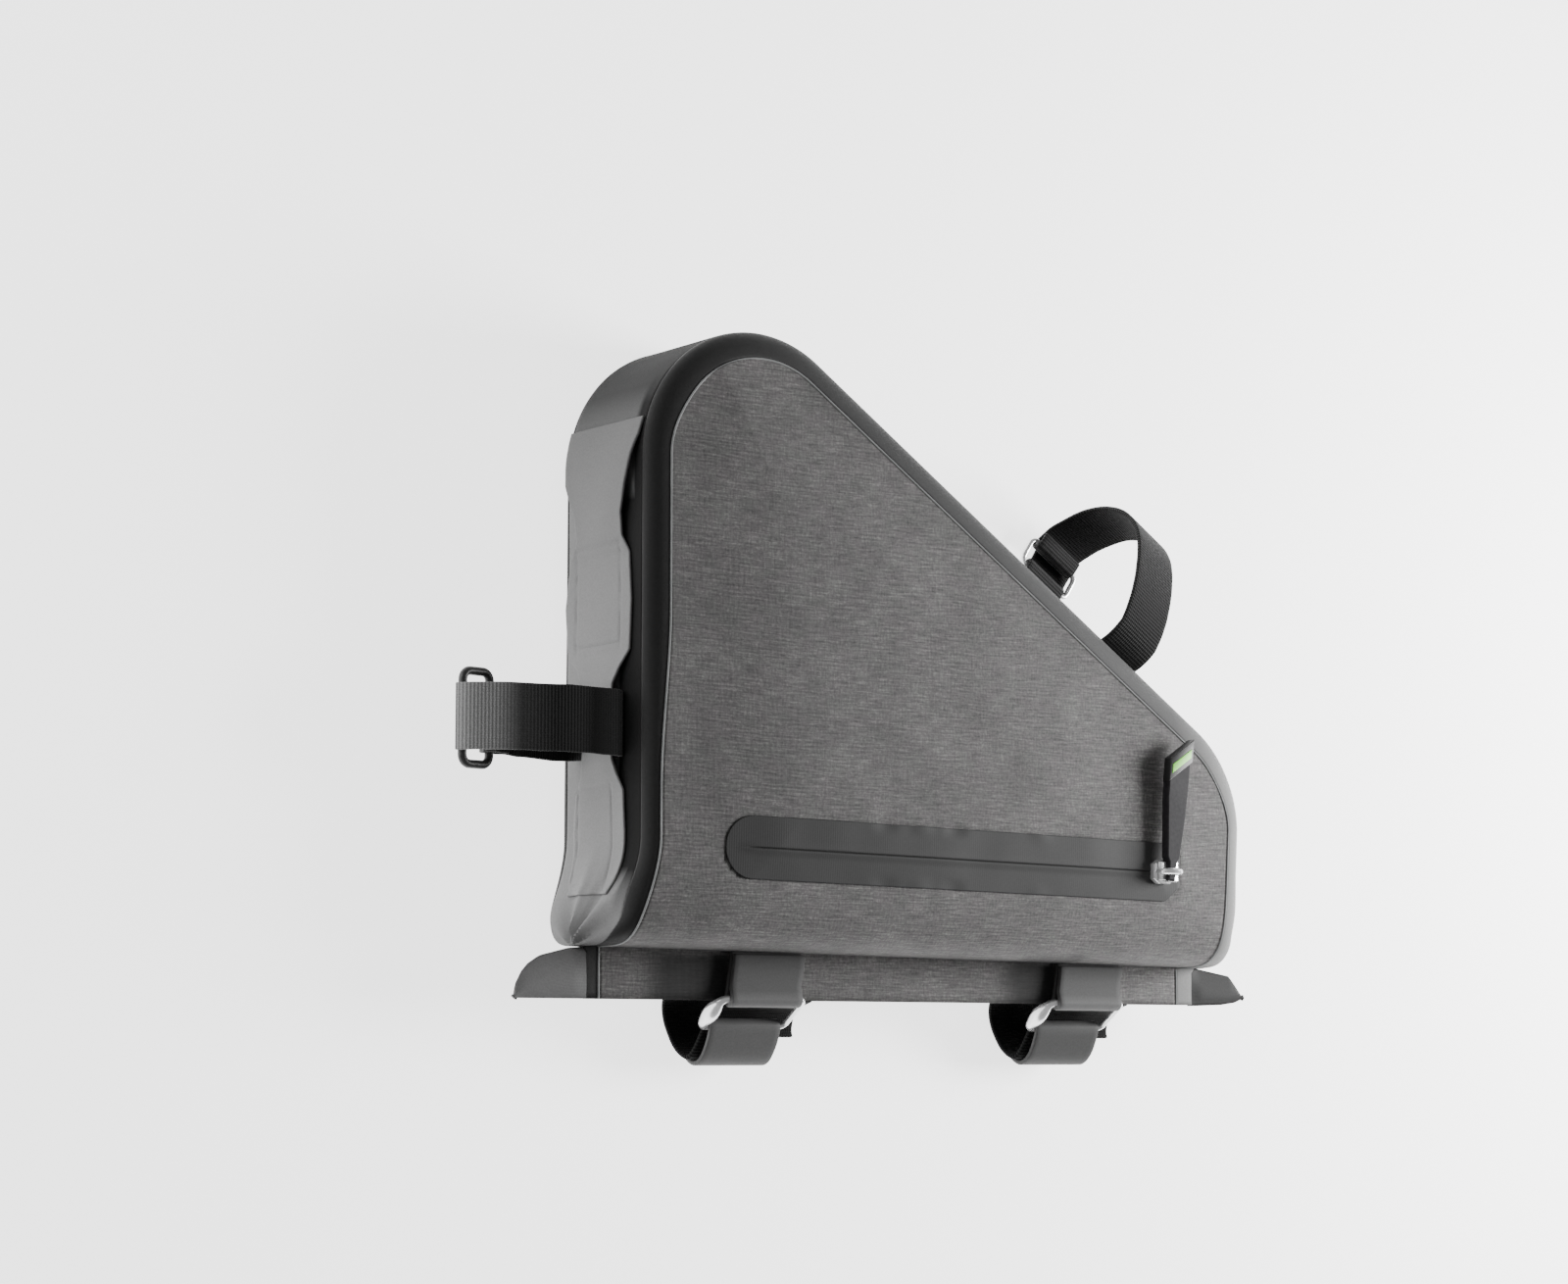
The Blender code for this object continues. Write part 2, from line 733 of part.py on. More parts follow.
def tube_mesh(points, radius, resolution, cyclic=False):
    """A mesh of a round wire through the points."""
    curve = bpy.data.curves.new("wire", "CURVE")
    curve.dimensions = "3D"
    curve.bevel_depth = radius
    curve.bevel_resolution = resolution
    curve.use_fill_caps = True
    spline = curve.splines.new("POLY")
    spline.points.add(len(points) - 1)
    for knot, point in zip(spline.points, points):
        knot.co = (*point, 1)
    spline.use_cyclic_u = cyclic
    guide = bpy.data.objects.new("wire", curve)
    bpy.context.scene.collection.objects.link(guide)
    graph = bpy.context.evaluated_depsgraph_get()
    mesh = bpy.data.meshes.new_from_object(guide.evaluated_get(graph))
    bpy.data.objects.remove(guide, do_unlink=True)
    bm = bmesh.new()
    bm.from_mesh(mesh)
    bmesh.ops.remove_doubles(bm, verts=bm.verts, dist=1e-6)
    bmesh.ops.recalc_face_normals(bm, faces=bm.faces[:])
    bm.to_mesh(mesh)
    bm.free()
    mesh.materials.clear()
    return mesh


def ring(name, low, high, place, side_half, wire, finish, shift=0.0):
    """A rectangular ring with round corners, between two points of a strap's plane."""
    span = math.dist(low, high)
    corner = wire + RING_SIDE_ROOM
    points = []
    for centre_side, centre_along, first in (
        (side_half - corner, span - corner, 0),
        (corner - side_half, span - corner, 90),
        (corner - side_half, corner, 180),
        (side_half - corner, corner, 270),
    ):
        for side, along in arc((centre_side, centre_along), corner, first, first + 90, 5):
            share = along / span
            a, b = blend(low[0], high[0], share), blend(low[1], high[1], share)
            points.append(place(a, b, side + shift))
    return add_object(name, tube_mesh(points, wire, 2, cyclic=True), finish)


def bar_room(wire):
    """From a ring bar's centre to the middle of the webbing that turns round it."""
    return wire + GAP + WEBBING / 2


LAYER = WEBBING + 2 * GAP

# Share of the fin's height that the loop's foot leaves free, and the points of the loop's path that
# its outer layer follows back from the ring
TAB_OVERLAP = 0.45
OUTER_LAYER_POINTS = 14

# The loop round the top tube from the fin's back to the ring. fin is a share of FIN_HEIGHT up from
# the fin's edge, drop a share of TOP_LOOP_DROP down from it, deep a share of the way to the back.
TOP_LOOP_PATH = (
    # fin, drop, deep
    (0.22, 0.00, 0.20),
    (0.20, 0.00, 0.55),
    (0.05, 0.00, 0.84),
    (0.00, 0.30, 0.93),
    (0.00, 0.70, 0.84),
    (0.00, 0.90, 0.66),
    (0.00, 0.82, 0.53),
)

# The seat strap's two free legs. out is a share of SEAT_STRAP_REACH, front a share of HALF_DEPTH
# from the middle towards the front.
SEAT_BACK_LEG = (
    # out, front
    (0.36, -0.48),
    (0.12, -0.60),
)
SEAT_FRONT_LEG = (
    # out, front
    (0.40, 0.60),
    (0.72, 0.48),
)

# The slant strap's loop from its ring to the front. out is a share of SLANT_STRAP_REACH, front a
# share of BODY_DEPTH up from the back.
SLANT_ANCHOR_PATH = (
    # share of the reach outwards, share of the body's depth
    (0.00, 0.420),
    (0.00, 0.240),
    (0.04, 0.130),
    (0.23, 0.075),
    (0.44, 0.055),
)
SLANT_LOOP_PATH = (
    # out, front
    (0.88, 0.11),
    (1.02, 0.27),
    (1.07, 0.45),
    (1.02, 0.66),
    (0.87, 0.83),
    (0.64, 0.93),
    (0.39, 0.975),
    (0.18, 0.95),
    (0.05, 0.86),
)


def top_strap(number, centre_x, finishes):
    """A tab welded on the fin's front, a ring, and the loop that goes round the top tube."""
    tab_cloth, metal, loop_cloth = finishes
    room = bar_room(RING_WIRE)
    foot = FIN_HALF + GAP + WEBBING / 2
    front, back = HALF_DEPTH + foot, HALF_DEPTH - foot
    fold = fold_y(centre_x)
    lean = math.radians(RING_LEAN_DEG)
    top_bar = (FIN_EDGE_Y + 0.02 * FIN_HEIGHT, front + room)
    low_bar = (top_bar[0] + RING_SPAN * math.cos(lean), top_bar[1] + RING_SPAN * math.sin(lean))

    def place(y, z, side):
        return (centre_x + side, y, z)

    tab = [(fold - 2 * GAP, front), (top_bar[0] + room, front)]
    tab += arc(top_bar, room, -90, -270, 8)
    tab += [(top_bar[0] + 2 * room, front + LAYER + GAP), (fold - 2 * WEBBING, front + LAYER)]
    lean_in = (TOP_TAB_SKEW, 0.0)
    strap(f"top_strap_{number}_tab", tab, place, TOP_STRAP_WIDTH, tab_cloth, lean_in, (0, 2))
    bar_half = TOP_STRAP_WIDTH / 2 + RING_SIDE_ROOM + RING_WIRE
    ring(f"top_strap_{number}_ring", low_bar, top_bar, place, bar_half, RING_WIRE, metal)

    deepest = HALF_DEPTH - WEBBING
    points = [(fold - WEBBING, back), (FIN_EDGE_Y + TAB_OVERLAP * FIN_HEIGHT, back)]
    for fin, drop, deep in TOP_LOOP_PATH:
        y = FIN_EDGE_Y + fin * FIN_HEIGHT - drop * TOP_LOOP_DROP
        points.append((y, HALF_DEPTH - deep * deepest))
    points.append((low_bar[0], low_bar[1] - room))
    inner = smooth_path(points, 4)
    turn = arc(low_bar, room, -90, 90, 7)
    outer = doubled(inner, -OUTER_LAYER_POINTS, 2 * room, LAYER)
    loop = inner[:-1] + turn + outer[1:]
    shifts, moving = (-TOP_STRAP_SKEW, 0.0), (0, len(inner) - 1)
    strap(f"top_strap_{number}_loop", loop, place, TOP_STRAP_WIDTH, loop_cloth, shifts, moving)


def seat_strap(webbing, plastic):
    """The strap passes under the overlay, out round the ring's far bar and back over itself."""
    room = bar_room(SEAT_RING_WIRE)
    y = FOLD_Y + SEAT_STRAP_FROM_FOLD
    reach = SEAT_STRAP_REACH
    far_bar = (reach, HALF_DEPTH + SEAT_RING_RISE / 2)
    near_bar = (reach - SEAT_RING_SPAN, HALF_DEPTH - SEAT_RING_RISE / 2)
    under = GAP + WEBBING / 2
    edge = OVERLAY_WIDTH / 2 - OVERLAY_NARROWING

    def place(out, z, side):
        return (SEAT_X - out, y + side, z)

    back_edge, front_edge = HALF_DEPTH - edge, HALF_DEPTH + edge
    points = [
        (near_bar[0], near_bar[1] - room),
        (near_bar[0] - SEAT_RING_SPAN, HALF_DEPTH - HALF_DEPTH / 4),
    ]
    points += [(out * reach, HALF_DEPTH + front * HALF_DEPTH) for out, front in SEAT_BACK_LEG]
    points += [
        (under + WEBBING, back_edge - 3 * WEBBING),
        (under, back_edge),
        (under, HALF_DEPTH),
        (under, front_edge),
        (under + WEBBING, front_edge + 1.5 * WEBBING),
        (under + 4 * WEBBING, front_edge + 2.2 * WEBBING),
    ]
    points += [(out * reach, HALF_DEPTH + front * HALF_DEPTH) for out, front in SEAT_FRONT_LEG]
    points += [(far_bar[0] - room / 2, far_bar[1] + 2 * room), (far_bar[0] + room, far_bar[1])]
    eye = arc(near_bar, room, 90, -90, 7)
    lap = [(near_bar[0] - LAP_LENGTH, near_bar[1] + room / 4)]
    path = lap + eye[:-1] + smooth_path(points, 4)
    strap("seat_strap", path, place, SEAT_STRAP_WIDTH, webbing)
    bar_half = SEAT_STRAP_WIDTH / 2 + RING_SIDE_ROOM + 2 * SEAT_RING_WIRE
    ring("seat_strap_ring", near_bar, far_bar, place, bar_half, SEAT_RING_WIRE, plastic)


def slant_strap(webbing, metal):
    """The down-tube strap: an anchor with a ring near the back, and a loop to the front."""
    room = bar_room(RING_WIRE)
    start = [
        CORNER_CENTRE[i] + CORNER_RADIUS * SLANT_NORMAL[i] - SLANT_STRAP_FROM_CORNER * SLANT_RUN[i]
        for i in range(2)
    ]
    reach = SLANT_STRAP_REACH
    depth = BODY_DEPTH
    wall = GAP + WEBBING / 2
    low_bar = (SLANT_RING_FROM_WALL, SLANT_RING_HEIGHT)
    high_bar = (low_bar[0] + SLANT_RING_SPAN, low_bar[1])

    def place(out, z, side):
        x, y = (
            start[i] + out * SLANT_NORMAL[i] + side * SLANT_RUN[i] for i in range(2)
        )
        return (x, y, z)

    points = [(wall + out * reach, front * depth) for out, front in SLANT_ANCHOR_PATH]
    points.append((low_bar[0], low_bar[1] - room))
    anchor = smooth_path(points, 4)
    lap = [(low_bar[0] - 2 * LAP_LENGTH, low_bar[1] + room / 3)]
    anchor = anchor[:-1] + arc(low_bar, room, -90, 90, 7) + lap
    back = (-SLANT_BACK_SKEW, -SLANT_BACK_SKEW)
    strap("slant_strap_anchor", anchor, place, SLANT_STRAP_WIDTH, webbing, back)
    bar_half = SLANT_STRAP_WIDTH / 2 + RING_SIDE_ROOM + RING_WIRE
    ring(
        "slant_strap_ring", low_bar, high_bar, place, bar_half, RING_WIRE, metal, -SLANT_BACK_SKEW
    )
    points = [(high_bar[0], high_bar[1] - room)]
    points += [(out * reach, front * depth) for out, front in SLANT_LOOP_PATH]
    points += [(wall, SLANT_WELD_TOP), (wall, SLANT_WELD_TOP - SLANT_WELD_LENGTH)]
    turn = arc(high_bar, room, 90, 270, 7)
    lap = [(high_bar[0] + 2 * room, high_bar[1] + room + GAP)]
    loop = lap + turn[:-1] + smooth_path(points, 4)
    shifts, moving = (-SLANT_BACK_SKEW, SLANT_FRONT_SKEW), (len(turn), len(loop) - 1)
    strap("slant_strap_loop", loop, place, SLANT_STRAP_WIDTH, webbing, shifts, moving)


def main():
    clear_scene()
    collection(PART_COLLECTION)
    collection(CUTTER_COLLECTION, hidden=True)
    heather = material("heather_cloth", (0.16, 0.155, 0.155), 0.8)
    coated = material("coated_cloth", (0.22, 0.22, 0.22), 0.6)
    tape = material("zip_tape", (0.07, 0.07, 0.07), 0.5)
    webbing = material("webbing", (0.03, 0.03, 0.03), 0.85)
    tab_cloth = material("strap_cloth", (0.11, 0.11, 0.11), 0.7)
    metal = material("ring_metal", (0.75, 0.75, 0.75), 0.25, 1.0)
    plastic = material("ring_plastic", (0.02, 0.02, 0.02), 0.4)
    rubber = material("pull_rubber", (0.04, 0.04, 0.04), 0.5)
    green = material("pull_green", (0.45, 0.86, 0.25), 0.5)

    front_panel(heather)
    back_panel(heather)
    gusset(coated)
    overlay(coated)
    zip_tape("zip_tape_upper", 1, tape)
    zip_tape("zip_tape_lower", -1, tape)
    zip_coil(tape)
    slider(metal)
    pull(rubber, green)
    for number in (1, 2):
        centre = SEAT_X + TOP_STRAP_FROM_SEAT + (number - 1) * TOP_STRAP_PITCH
        top_strap(number, centre, (tab_cloth, metal, webbing))
    seat_strap(webbing, plastic)
    slant_strap(webbing, metal)


main()
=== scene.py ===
import math

import bmesh
import bpy
from mathutils import Matrix, Vector, noise


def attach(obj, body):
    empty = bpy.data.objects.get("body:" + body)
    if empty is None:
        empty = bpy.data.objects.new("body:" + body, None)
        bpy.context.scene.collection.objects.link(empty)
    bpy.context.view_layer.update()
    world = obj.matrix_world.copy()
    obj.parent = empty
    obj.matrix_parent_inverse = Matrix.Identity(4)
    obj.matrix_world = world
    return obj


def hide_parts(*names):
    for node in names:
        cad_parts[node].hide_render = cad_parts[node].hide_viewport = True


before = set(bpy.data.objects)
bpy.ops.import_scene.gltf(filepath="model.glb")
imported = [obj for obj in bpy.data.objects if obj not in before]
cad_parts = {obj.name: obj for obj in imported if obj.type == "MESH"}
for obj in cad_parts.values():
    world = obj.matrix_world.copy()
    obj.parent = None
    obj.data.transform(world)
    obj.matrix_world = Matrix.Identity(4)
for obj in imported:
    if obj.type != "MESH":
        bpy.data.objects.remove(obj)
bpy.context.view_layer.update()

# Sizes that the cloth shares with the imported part, in metres
BODY_LENGTH = 0.301
BODY_HEIGHT = 0.239
BODY_DEPTH = 0.063
APEX_RADIUS = 0.052
CORNER_RADIUS = 0.050
CORNER_RISE = 0.0552
CLOTH = 0.0015
BAND_WIDTH = 0.009
BAND_DROP = 0.006
PUFF = 0.0025
PUFF_REACH = 0.060
FOLD_DROP = 0.004
PINCH_LENGTH = 0.041
PINCH_POWER = 4.0
SEAT_FLARE = 0.008
HEAD_LEAN = 0.0035
EAR_BULGE = 0.006
FIN_HEIGHT = 0.0175
OVERLAY_LENGTH = 0.180
OVERLAY_LOW = 0.0195
OVERLAY_FRONT = 0.0200
OVERLAY_BACK = 0.0255
OVERLAY_NARROWING = 0.008
SLOT_LIFT = 0.0032
ZIP_LENGTH = 0.229
ZIP_WIDTH = 0.0240
ZIP_FROM_SEAT = 0.034
ZIP_FROM_FOLD = 0.0397
ZIP_TILT = math.radians(-0.9)
ZIP_BEVEL = 0.008
SLIDER_LENGTH = 0.013
SLIDER_WIDTH = 0.010
SLIDER_PLATE = 0.0026
SLIDER_FROM_END = 0.0042
PULL_LENGTH = 0.0560
PULL_LIFT = 0.004
PULL_TURN = math.radians(-8)
WEBBING = 0.0018
TOP_STRAP_WIDTH = 0.0335
TOP_STRAP_FROM_SEAT = 0.0710
TOP_STRAP_PITCH = 0.1645
TOP_STRAP_SKEW = 0.0178
TOP_TAB_SKEW = 0.0025
TOP_LOOP_DROP = 0.024
SEAT_STRAP_WIDTH = 0.025
SEAT_STRAP_REACH = 0.063
SEAT_STRAP_FROM_FOLD = 0.0855
SLANT_STRAP_WIDTH = 0.022
SLANT_STRAP_REACH = 0.062
SLANT_STRAP_FROM_CORNER = 0.057
SLANT_BACK_SKEW = 0.013
SLANT_FRONT_SKEW = 0.008
SLANT_WELD_TOP = 0.048
SLANT_WELD_LENGTH = 0.015
RING_WIRE = 0.0011
RING_SPAN = 0.0180
RING_LEAN = math.radians(235)
SEAT_RING_WIRE = 0.0015
SEAT_RING_SPAN = 0.013
SEAT_RING_RISE = 0.0025
SLANT_RING_SPAN = 0.012
SLANT_RING_FROM_WALL = 0.033
SLANT_RING_HEIGHT = 0.0062
RING_SIDE_ROOM = 0.0018
LAP_LENGTH = 0.008
GAP = 0.0003

HALF_DEPTH = BODY_DEPTH / 2
FIN_HALF = CLOTH + GAP / 2
SEAT_X, HEAD_X = -BODY_LENGTH / 2, BODY_LENGTH / 2
FOLD_Y, APEX_Y = -BODY_HEIGHT / 2, BODY_HEIGHT / 2
FIN_EDGE_Y = FOLD_Y - FIN_HEIGHT
APEX_CENTRE = (SEAT_X + APEX_RADIUS, APEX_Y - APEX_RADIUS)
CORNER_CENTRE = (HEAD_X - CORNER_RADIUS, FOLD_Y + CORNER_RISE)
NORMAL_ANGLE = math.atan2(
    CORNER_CENTRE[1] - APEX_CENTRE[1], CORNER_CENTRE[0] - APEX_CENTRE[0]
) + math.acos((APEX_RADIUS - CORNER_RADIUS) / math.dist(APEX_CENTRE, CORNER_CENTRE))
SLANT_NORMAL = (math.cos(NORMAL_ANGLE), math.sin(NORMAL_ANGLE))
SLANT_RUN = (SLANT_NORMAL[1], -SLANT_NORMAL[0])
SLANT_OFFSET = APEX_CENTRE[0] * SLANT_NORMAL[0] + APEX_CENTRE[1] * SLANT_NORMAL[1] + APEX_RADIUS
SKIN = CLOTH * 0.8


# Objects and meshes


def placed(name, data):
    """A new object in the scene."""
    made = bpy.data.objects.new(name, data)
    bpy.context.scene.collection.objects.link(made)
    return made


def as_mesh(name, bm):
    mesh = bpy.data.meshes.new(name)
    bm.to_mesh(mesh)
    bm.free()
    return mesh


# Camera, placed where the photograph was taken from


def set_camera():
    data = bpy.data.cameras.new("camera")
    data.lens = 81.0
    data.sensor_width = 36.0
    data.sensor_fit = "HORIZONTAL"
    camera = placed("camera", data)
    right = Vector((0.80901699, 0.0, 0.58778525))
    up = Vector((-0.06811297, 0.99326314, 0.09374946))
    back = -Vector((0.58382542, 0.1158807, -0.80356676))
    turn = Matrix((right, up, back)).transposed().to_4x4()
    camera.matrix_world = Matrix.Translation((-0.878705, -0.157456, 1.149983)) @ turn
    bpy.context.scene.camera = camera


# Materials


def greys(*stops):
    """Stops of a ramp from (place, grey level) pairs."""
    return [(where, (level, level, level)) for where, level in stops]


class Finish:
    """A procedural material, built node by node on its own shader."""

    def __init__(self, name, roughness, metallic=0.0, sheen=0.0, specular=0.5):
        self.material = bpy.data.materials.new(name)
        self.material.use_nodes = True
        self.tree = self.material.node_tree
        self.shader = self.tree.nodes["Principled BSDF"]
        for socket, value in (
            ("Roughness", roughness),
            ("Metallic", metallic),
            ("Sheen Weight", sheen),
            ("Sheen Roughness", 0.5),
            ("Specular IOR Level", specular),
        ):
            self.shader.inputs[socket].default_value = value

    def node(self, kind, links=(), **settings):
        made = self.tree.nodes.new(kind)
        for key, value in settings.items():
            setattr(made, key, value)
        for socket, value in links:
            if isinstance(value, bpy.types.NodeSocket):
                self.tree.links.new(value, made.inputs[socket])
            else:
                made.inputs[socket].default_value = value
        return made

    def place(self, scale, source="Object", turn=0.0):
        """Coordinates in millimetres, stretched by scale."""
        if source == "Object":
            point = self.node("ShaderNodeTexCoord").outputs["Object"]
        else:
            point = self.node("ShaderNodeUVMap", uv_map="flat").outputs["UV"]
        scaled = [1000 * amount for amount in scale]
        links = [("Vector", point), ("Scale", scaled), ("Rotation", (0, 0, turn))]
        return self.node("ShaderNodeMapping", links).outputs["Vector"]

    def noise(self, scale, detail=3.0, source="Object", rough=0.55):
        links = [("Vector", self.place(scale, source)), ("Scale", 1.0)]
        links += [("Detail", detail), ("Roughness", rough)]
        return self.node("ShaderNodeTexNoise", links).outputs["Fac"]

    def ridges(self, scale, turn=0.0, distortion=0.0):
        """Parallel threads across the cloth's X, one for each unit of the scaled coordinate."""
        links = [("Vector", self.place(scale, "UV", turn)), ("Scale", math.pi / 10)]
        links += [("Distortion", distortion), ("Detail", 1.0)]
        return self.node("ShaderNodeTexWave", links, wave_type="BANDS").outputs["Fac"]

    def math(self, operation, a, b):
        return self.node("ShaderNodeMath", [(0, a), (1, b)], operation=operation).outputs[0]

    def product(self, first, *others):
        for value in others:
            first = self.math("MULTIPLY", first, value)
        return first

    def sum(self, *terms):
        total = None
        for amount, value in terms:
            part = self.math("MULTIPLY", value, amount)
            total = part if total is None else self.math("ADD", total, part)
        return total

    def ramp(self, value, stops):
        made = self.node("ShaderNodeValToRGB", [("Fac", value)])
        elements = made.color_ramp.elements
        elements[0].position, elements[1].position = stops[0][0], stops[-1][0]
        for where, _ in stops[1:-1]:
            elements.new(where)
        for element, (_, colour) in zip(elements, stops):
            element.color = (*colour, 1.0)
        return made.outputs["Color"]

    def mix(self, share, a, b, blend_type="MIX"):
        made = self.node("ShaderNodeMix", data_type="RGBA", blend_type=blend_type)
        for index, value in ((0, share), (6, a), (7, b)):
            if isinstance(value, bpy.types.NodeSocket):
                self.tree.links.new(value, made.inputs[index])
            elif index == 0:
                made.inputs[0].default_value = value
            else:
                made.inputs[index].default_value = (*value, 1.0)
        return made.outputs[2]

    def along(self, axis, low, high, interpolation="LINEAR"):
        """0 to 1 along an axis of the piece, between two places in metres."""
        point = self.node("ShaderNodeTexCoord").outputs["Object"]
        split = self.node("ShaderNodeSeparateXYZ", [("Vector", point)])
        links = [("Value", split.outputs[axis]), ("From Min", low), ("From Max", high)]
        settings = {"clamp": True, "interpolation_type": interpolation}
        return self.node("ShaderNodeMapRange", links, **settings).outputs["Result"]

    def colour(self, socket):
        self.tree.links.new(socket, self.shader.inputs["Base Color"])

    def roughness(self, socket):
        self.tree.links.new(socket, self.shader.inputs["Roughness"])

    def bump(self, height, distance, strength=1.0):
        links = [("Height", height), ("Distance", distance), ("Strength", strength)]
        bumped = self.node("ShaderNodeBump", links).outputs["Normal"]
        self.tree.links.new(bumped, self.shader.inputs["Normal"])


# Painted shadow on the fin beside each tab: how far it reaches from the tab, and how softly it
# starts
TAB_SHADOW_REACH = (0.044, 0.034)
TAB_SHADOW_FADE = 0.019
# Colour of the painted shadow beside the tabs
TAB_SHADOW_COLOUR = (0.005, 0.005, 0.005)
# Near black of the seat side's wall between the crease and the overlay
SEAT_WALL_DARK = (0.014, 0.014, 0.014)


def painted_tab_shadow(cloth):
    """How far the fin's cloth is painted with shadow beside the two tabs, from 0 to 1."""
    total = None
    for number, reach in enumerate(TAB_SHADOW_REACH):
        edge = SEAT_X + TOP_STRAP_FROM_SEAT + number * TOP_STRAP_PITCH - TOP_STRAP_WIDTH / 2
        start = edge - reach
        patch = cloth.product(
            cloth.along("X", start, start + TAB_SHADOW_FADE, "SMOOTHSTEP"),
            cloth.along("X", edge + 0.006, edge, "SMOOTHSTEP"),
        )
        total = patch if total is None else cloth.math("ADD", total, patch)
    below = cloth.along("Y", FOLD_Y + 0.004, FOLD_Y - 0.003, "SMOOTHSTEP")
    front = cloth.along("Z", HALF_DEPTH, HALF_DEPTH + 0.0005, "SMOOTHSTEP")
    return cloth.product(total, below, front, 0.93)


def heather_cloth():
    """Melange cloth: long flecks along the weft, short ones across it, and a fine plain weave."""
    cloth = Finish("heather_cloth", 0.72, sheen=0.08, specular=0.2)
    weft = cloth.noise((0.10, 1.25, 1.0), 4.0, "UV", 0.62)
    warp = cloth.noise((1.3, 0.22, 1.0), 3.0, "UV", 0.6)
    grain = cloth.noise((0.85, 0.95, 1.0), 4.0, "UV", 0.7)
    cloudy = cloth.noise((0.03, 0.035, 0.03), 2.0)
    value = cloth.sum((0.46, weft), (0.22, warp), (0.38, grain), (0.14, cloudy))
    shade = cloth.ramp(
        value,
        (
            (0.44, (0.048, 0.047, 0.047)),
            (0.56, (0.107, 0.105, 0.105)),
            (0.64, (0.158, 0.155, 0.154)),
            (0.76, (0.290, 0.286, 0.281)),
        ),
    )
    tint = cloth.ramp(
        cloth.noise((0.12, 0.15, 0.12), 2.0),
        ((0.35, (1.03, 0.985, 1.0)), (0.65, (0.985, 1.0, 0.975))),
    )
    shade = cloth.mix(1.0, shade, tint, "MULTIPLY")
    # Painted light: the cloth grows lighter towards the head, the side the key lamp lights most
    painted_light_levels = greys((0.0, 0.68), (0.3, 0.76), (0.7, 0.80), (1.0, 1.0))
    painted_light_towards_head = cloth.ramp(cloth.along("X", SEAT_X, HEAD_X), painted_light_levels)
    shade = cloth.mix(1.0, shade, painted_light_towards_head, "MULTIPLY")
    # Painted shadow on the fin beside the tabs, over the flecked cloth
    cloth.colour(cloth.mix(painted_tab_shadow(cloth), shade, TAB_SHADOW_COLOUR))
    threads = cloth.sum(
        (0.5, cloth.ridges((1.9, 0, 0), distortion=0.4)),
        (0.5, cloth.ridges((0, 1.9, 0), math.radians(90), 0.4)),
        (1.2, weft),
    )
    cloth.bump(threads, 0.00022, 0.55)
    cloth.roughness(cloth.sum((0.2, grain), (1.0, 0.6)))
    return cloth


def smooth_cloth(name, roughness, sheen=0.02, weave=0.35, specular=0.12):
    """Coated cloth: a fine weave shows under the coating."""
    cloth = Finish(name, roughness, sheen=sheen, specular=specular)
    threads = cloth.sum(
        (0.5, cloth.ridges((2.2, 0, 0), distortion=0.3)),
        (0.5, cloth.ridges((0, 2.2, 0), math.radians(90), 0.3)),
        (0.8, cloth.noise((1.6, 1.6, 1.6))),
    )
    cloth.bump(threads, 0.00012, weave)
    return cloth


def painted_shading(cloth, axis, low, high, stops):
    """Painted light and shade on the coating: its grey ramps along one axis of the bag, with its
    grain.
    """
    speckle = cloth.ramp(cloth.noise((1.4, 1.4, 1.4)), greys((0.3, 0.86), (0.7, 1.0)))
    shade = cloth.ramp(cloth.along(axis, low, high), stops)
    cloth.colour(cloth.mix(1.0, shade, speckle, "MULTIPLY"))
    return cloth


def dark_edge(cloth):
    """Darkens the seat side's wall to near black from the crease as far as the overlay."""
    under = cloth.shader.inputs["Base Color"].links[0].from_socket
    past_crease = cloth.along("Z", HALF_DEPTH + 0.0175, HALF_DEPTH + 0.0205)
    low, top = FOLD_Y + OVERLAY_LOW, FOLD_Y + OVERLAY_LENGTH
    beside_overlay = cloth.product(
        cloth.along("Z", HALF_DEPTH + 0.0095, HALF_DEPTH + 0.0110),
        cloth.along("Y", low, low + 0.012),
        cloth.along("Y", top, top - 0.01),
    )
    share = cloth.product(
        cloth.math("MAXIMUM", past_crease, beside_overlay),
        cloth.along("X", SEAT_X + 0.012, SEAT_X + 0.004),
        cloth.along("Y", FOLD_Y + 0.012, FOLD_Y + 0.03),
    )
    cloth.colour(cloth.mix(share, under, SEAT_WALL_DARK))


def webbing_cloth(name, dark=None, light=None):
    """Ribbed webbing: ribs across the strap, split into short stitches. Without its two grey
    levels it still needs its colour."""
    cloth = Finish(name, 0.78, sheen=0.06, specular=0.12)
    ribs = cloth.ridges((0, 0.75, 0), math.radians(90), 0.15)
    twill = cloth.ridges((1.1, 0.35, 0), distortion=0.2)
    grain = cloth.noise((1.5, 0.8, 1.0), source="UV")
    if dark:
        value = cloth.sum((0.35, ribs), (0.2, twill), (0.5, grain))
        cloth.colour(cloth.ramp(value, greys((0.3, dark), (0.8, light))))
    cloth.bump(cloth.sum((1.0, ribs), (0.5, twill), (0.3, grain)), 0.00030, 0.7)
    return cloth


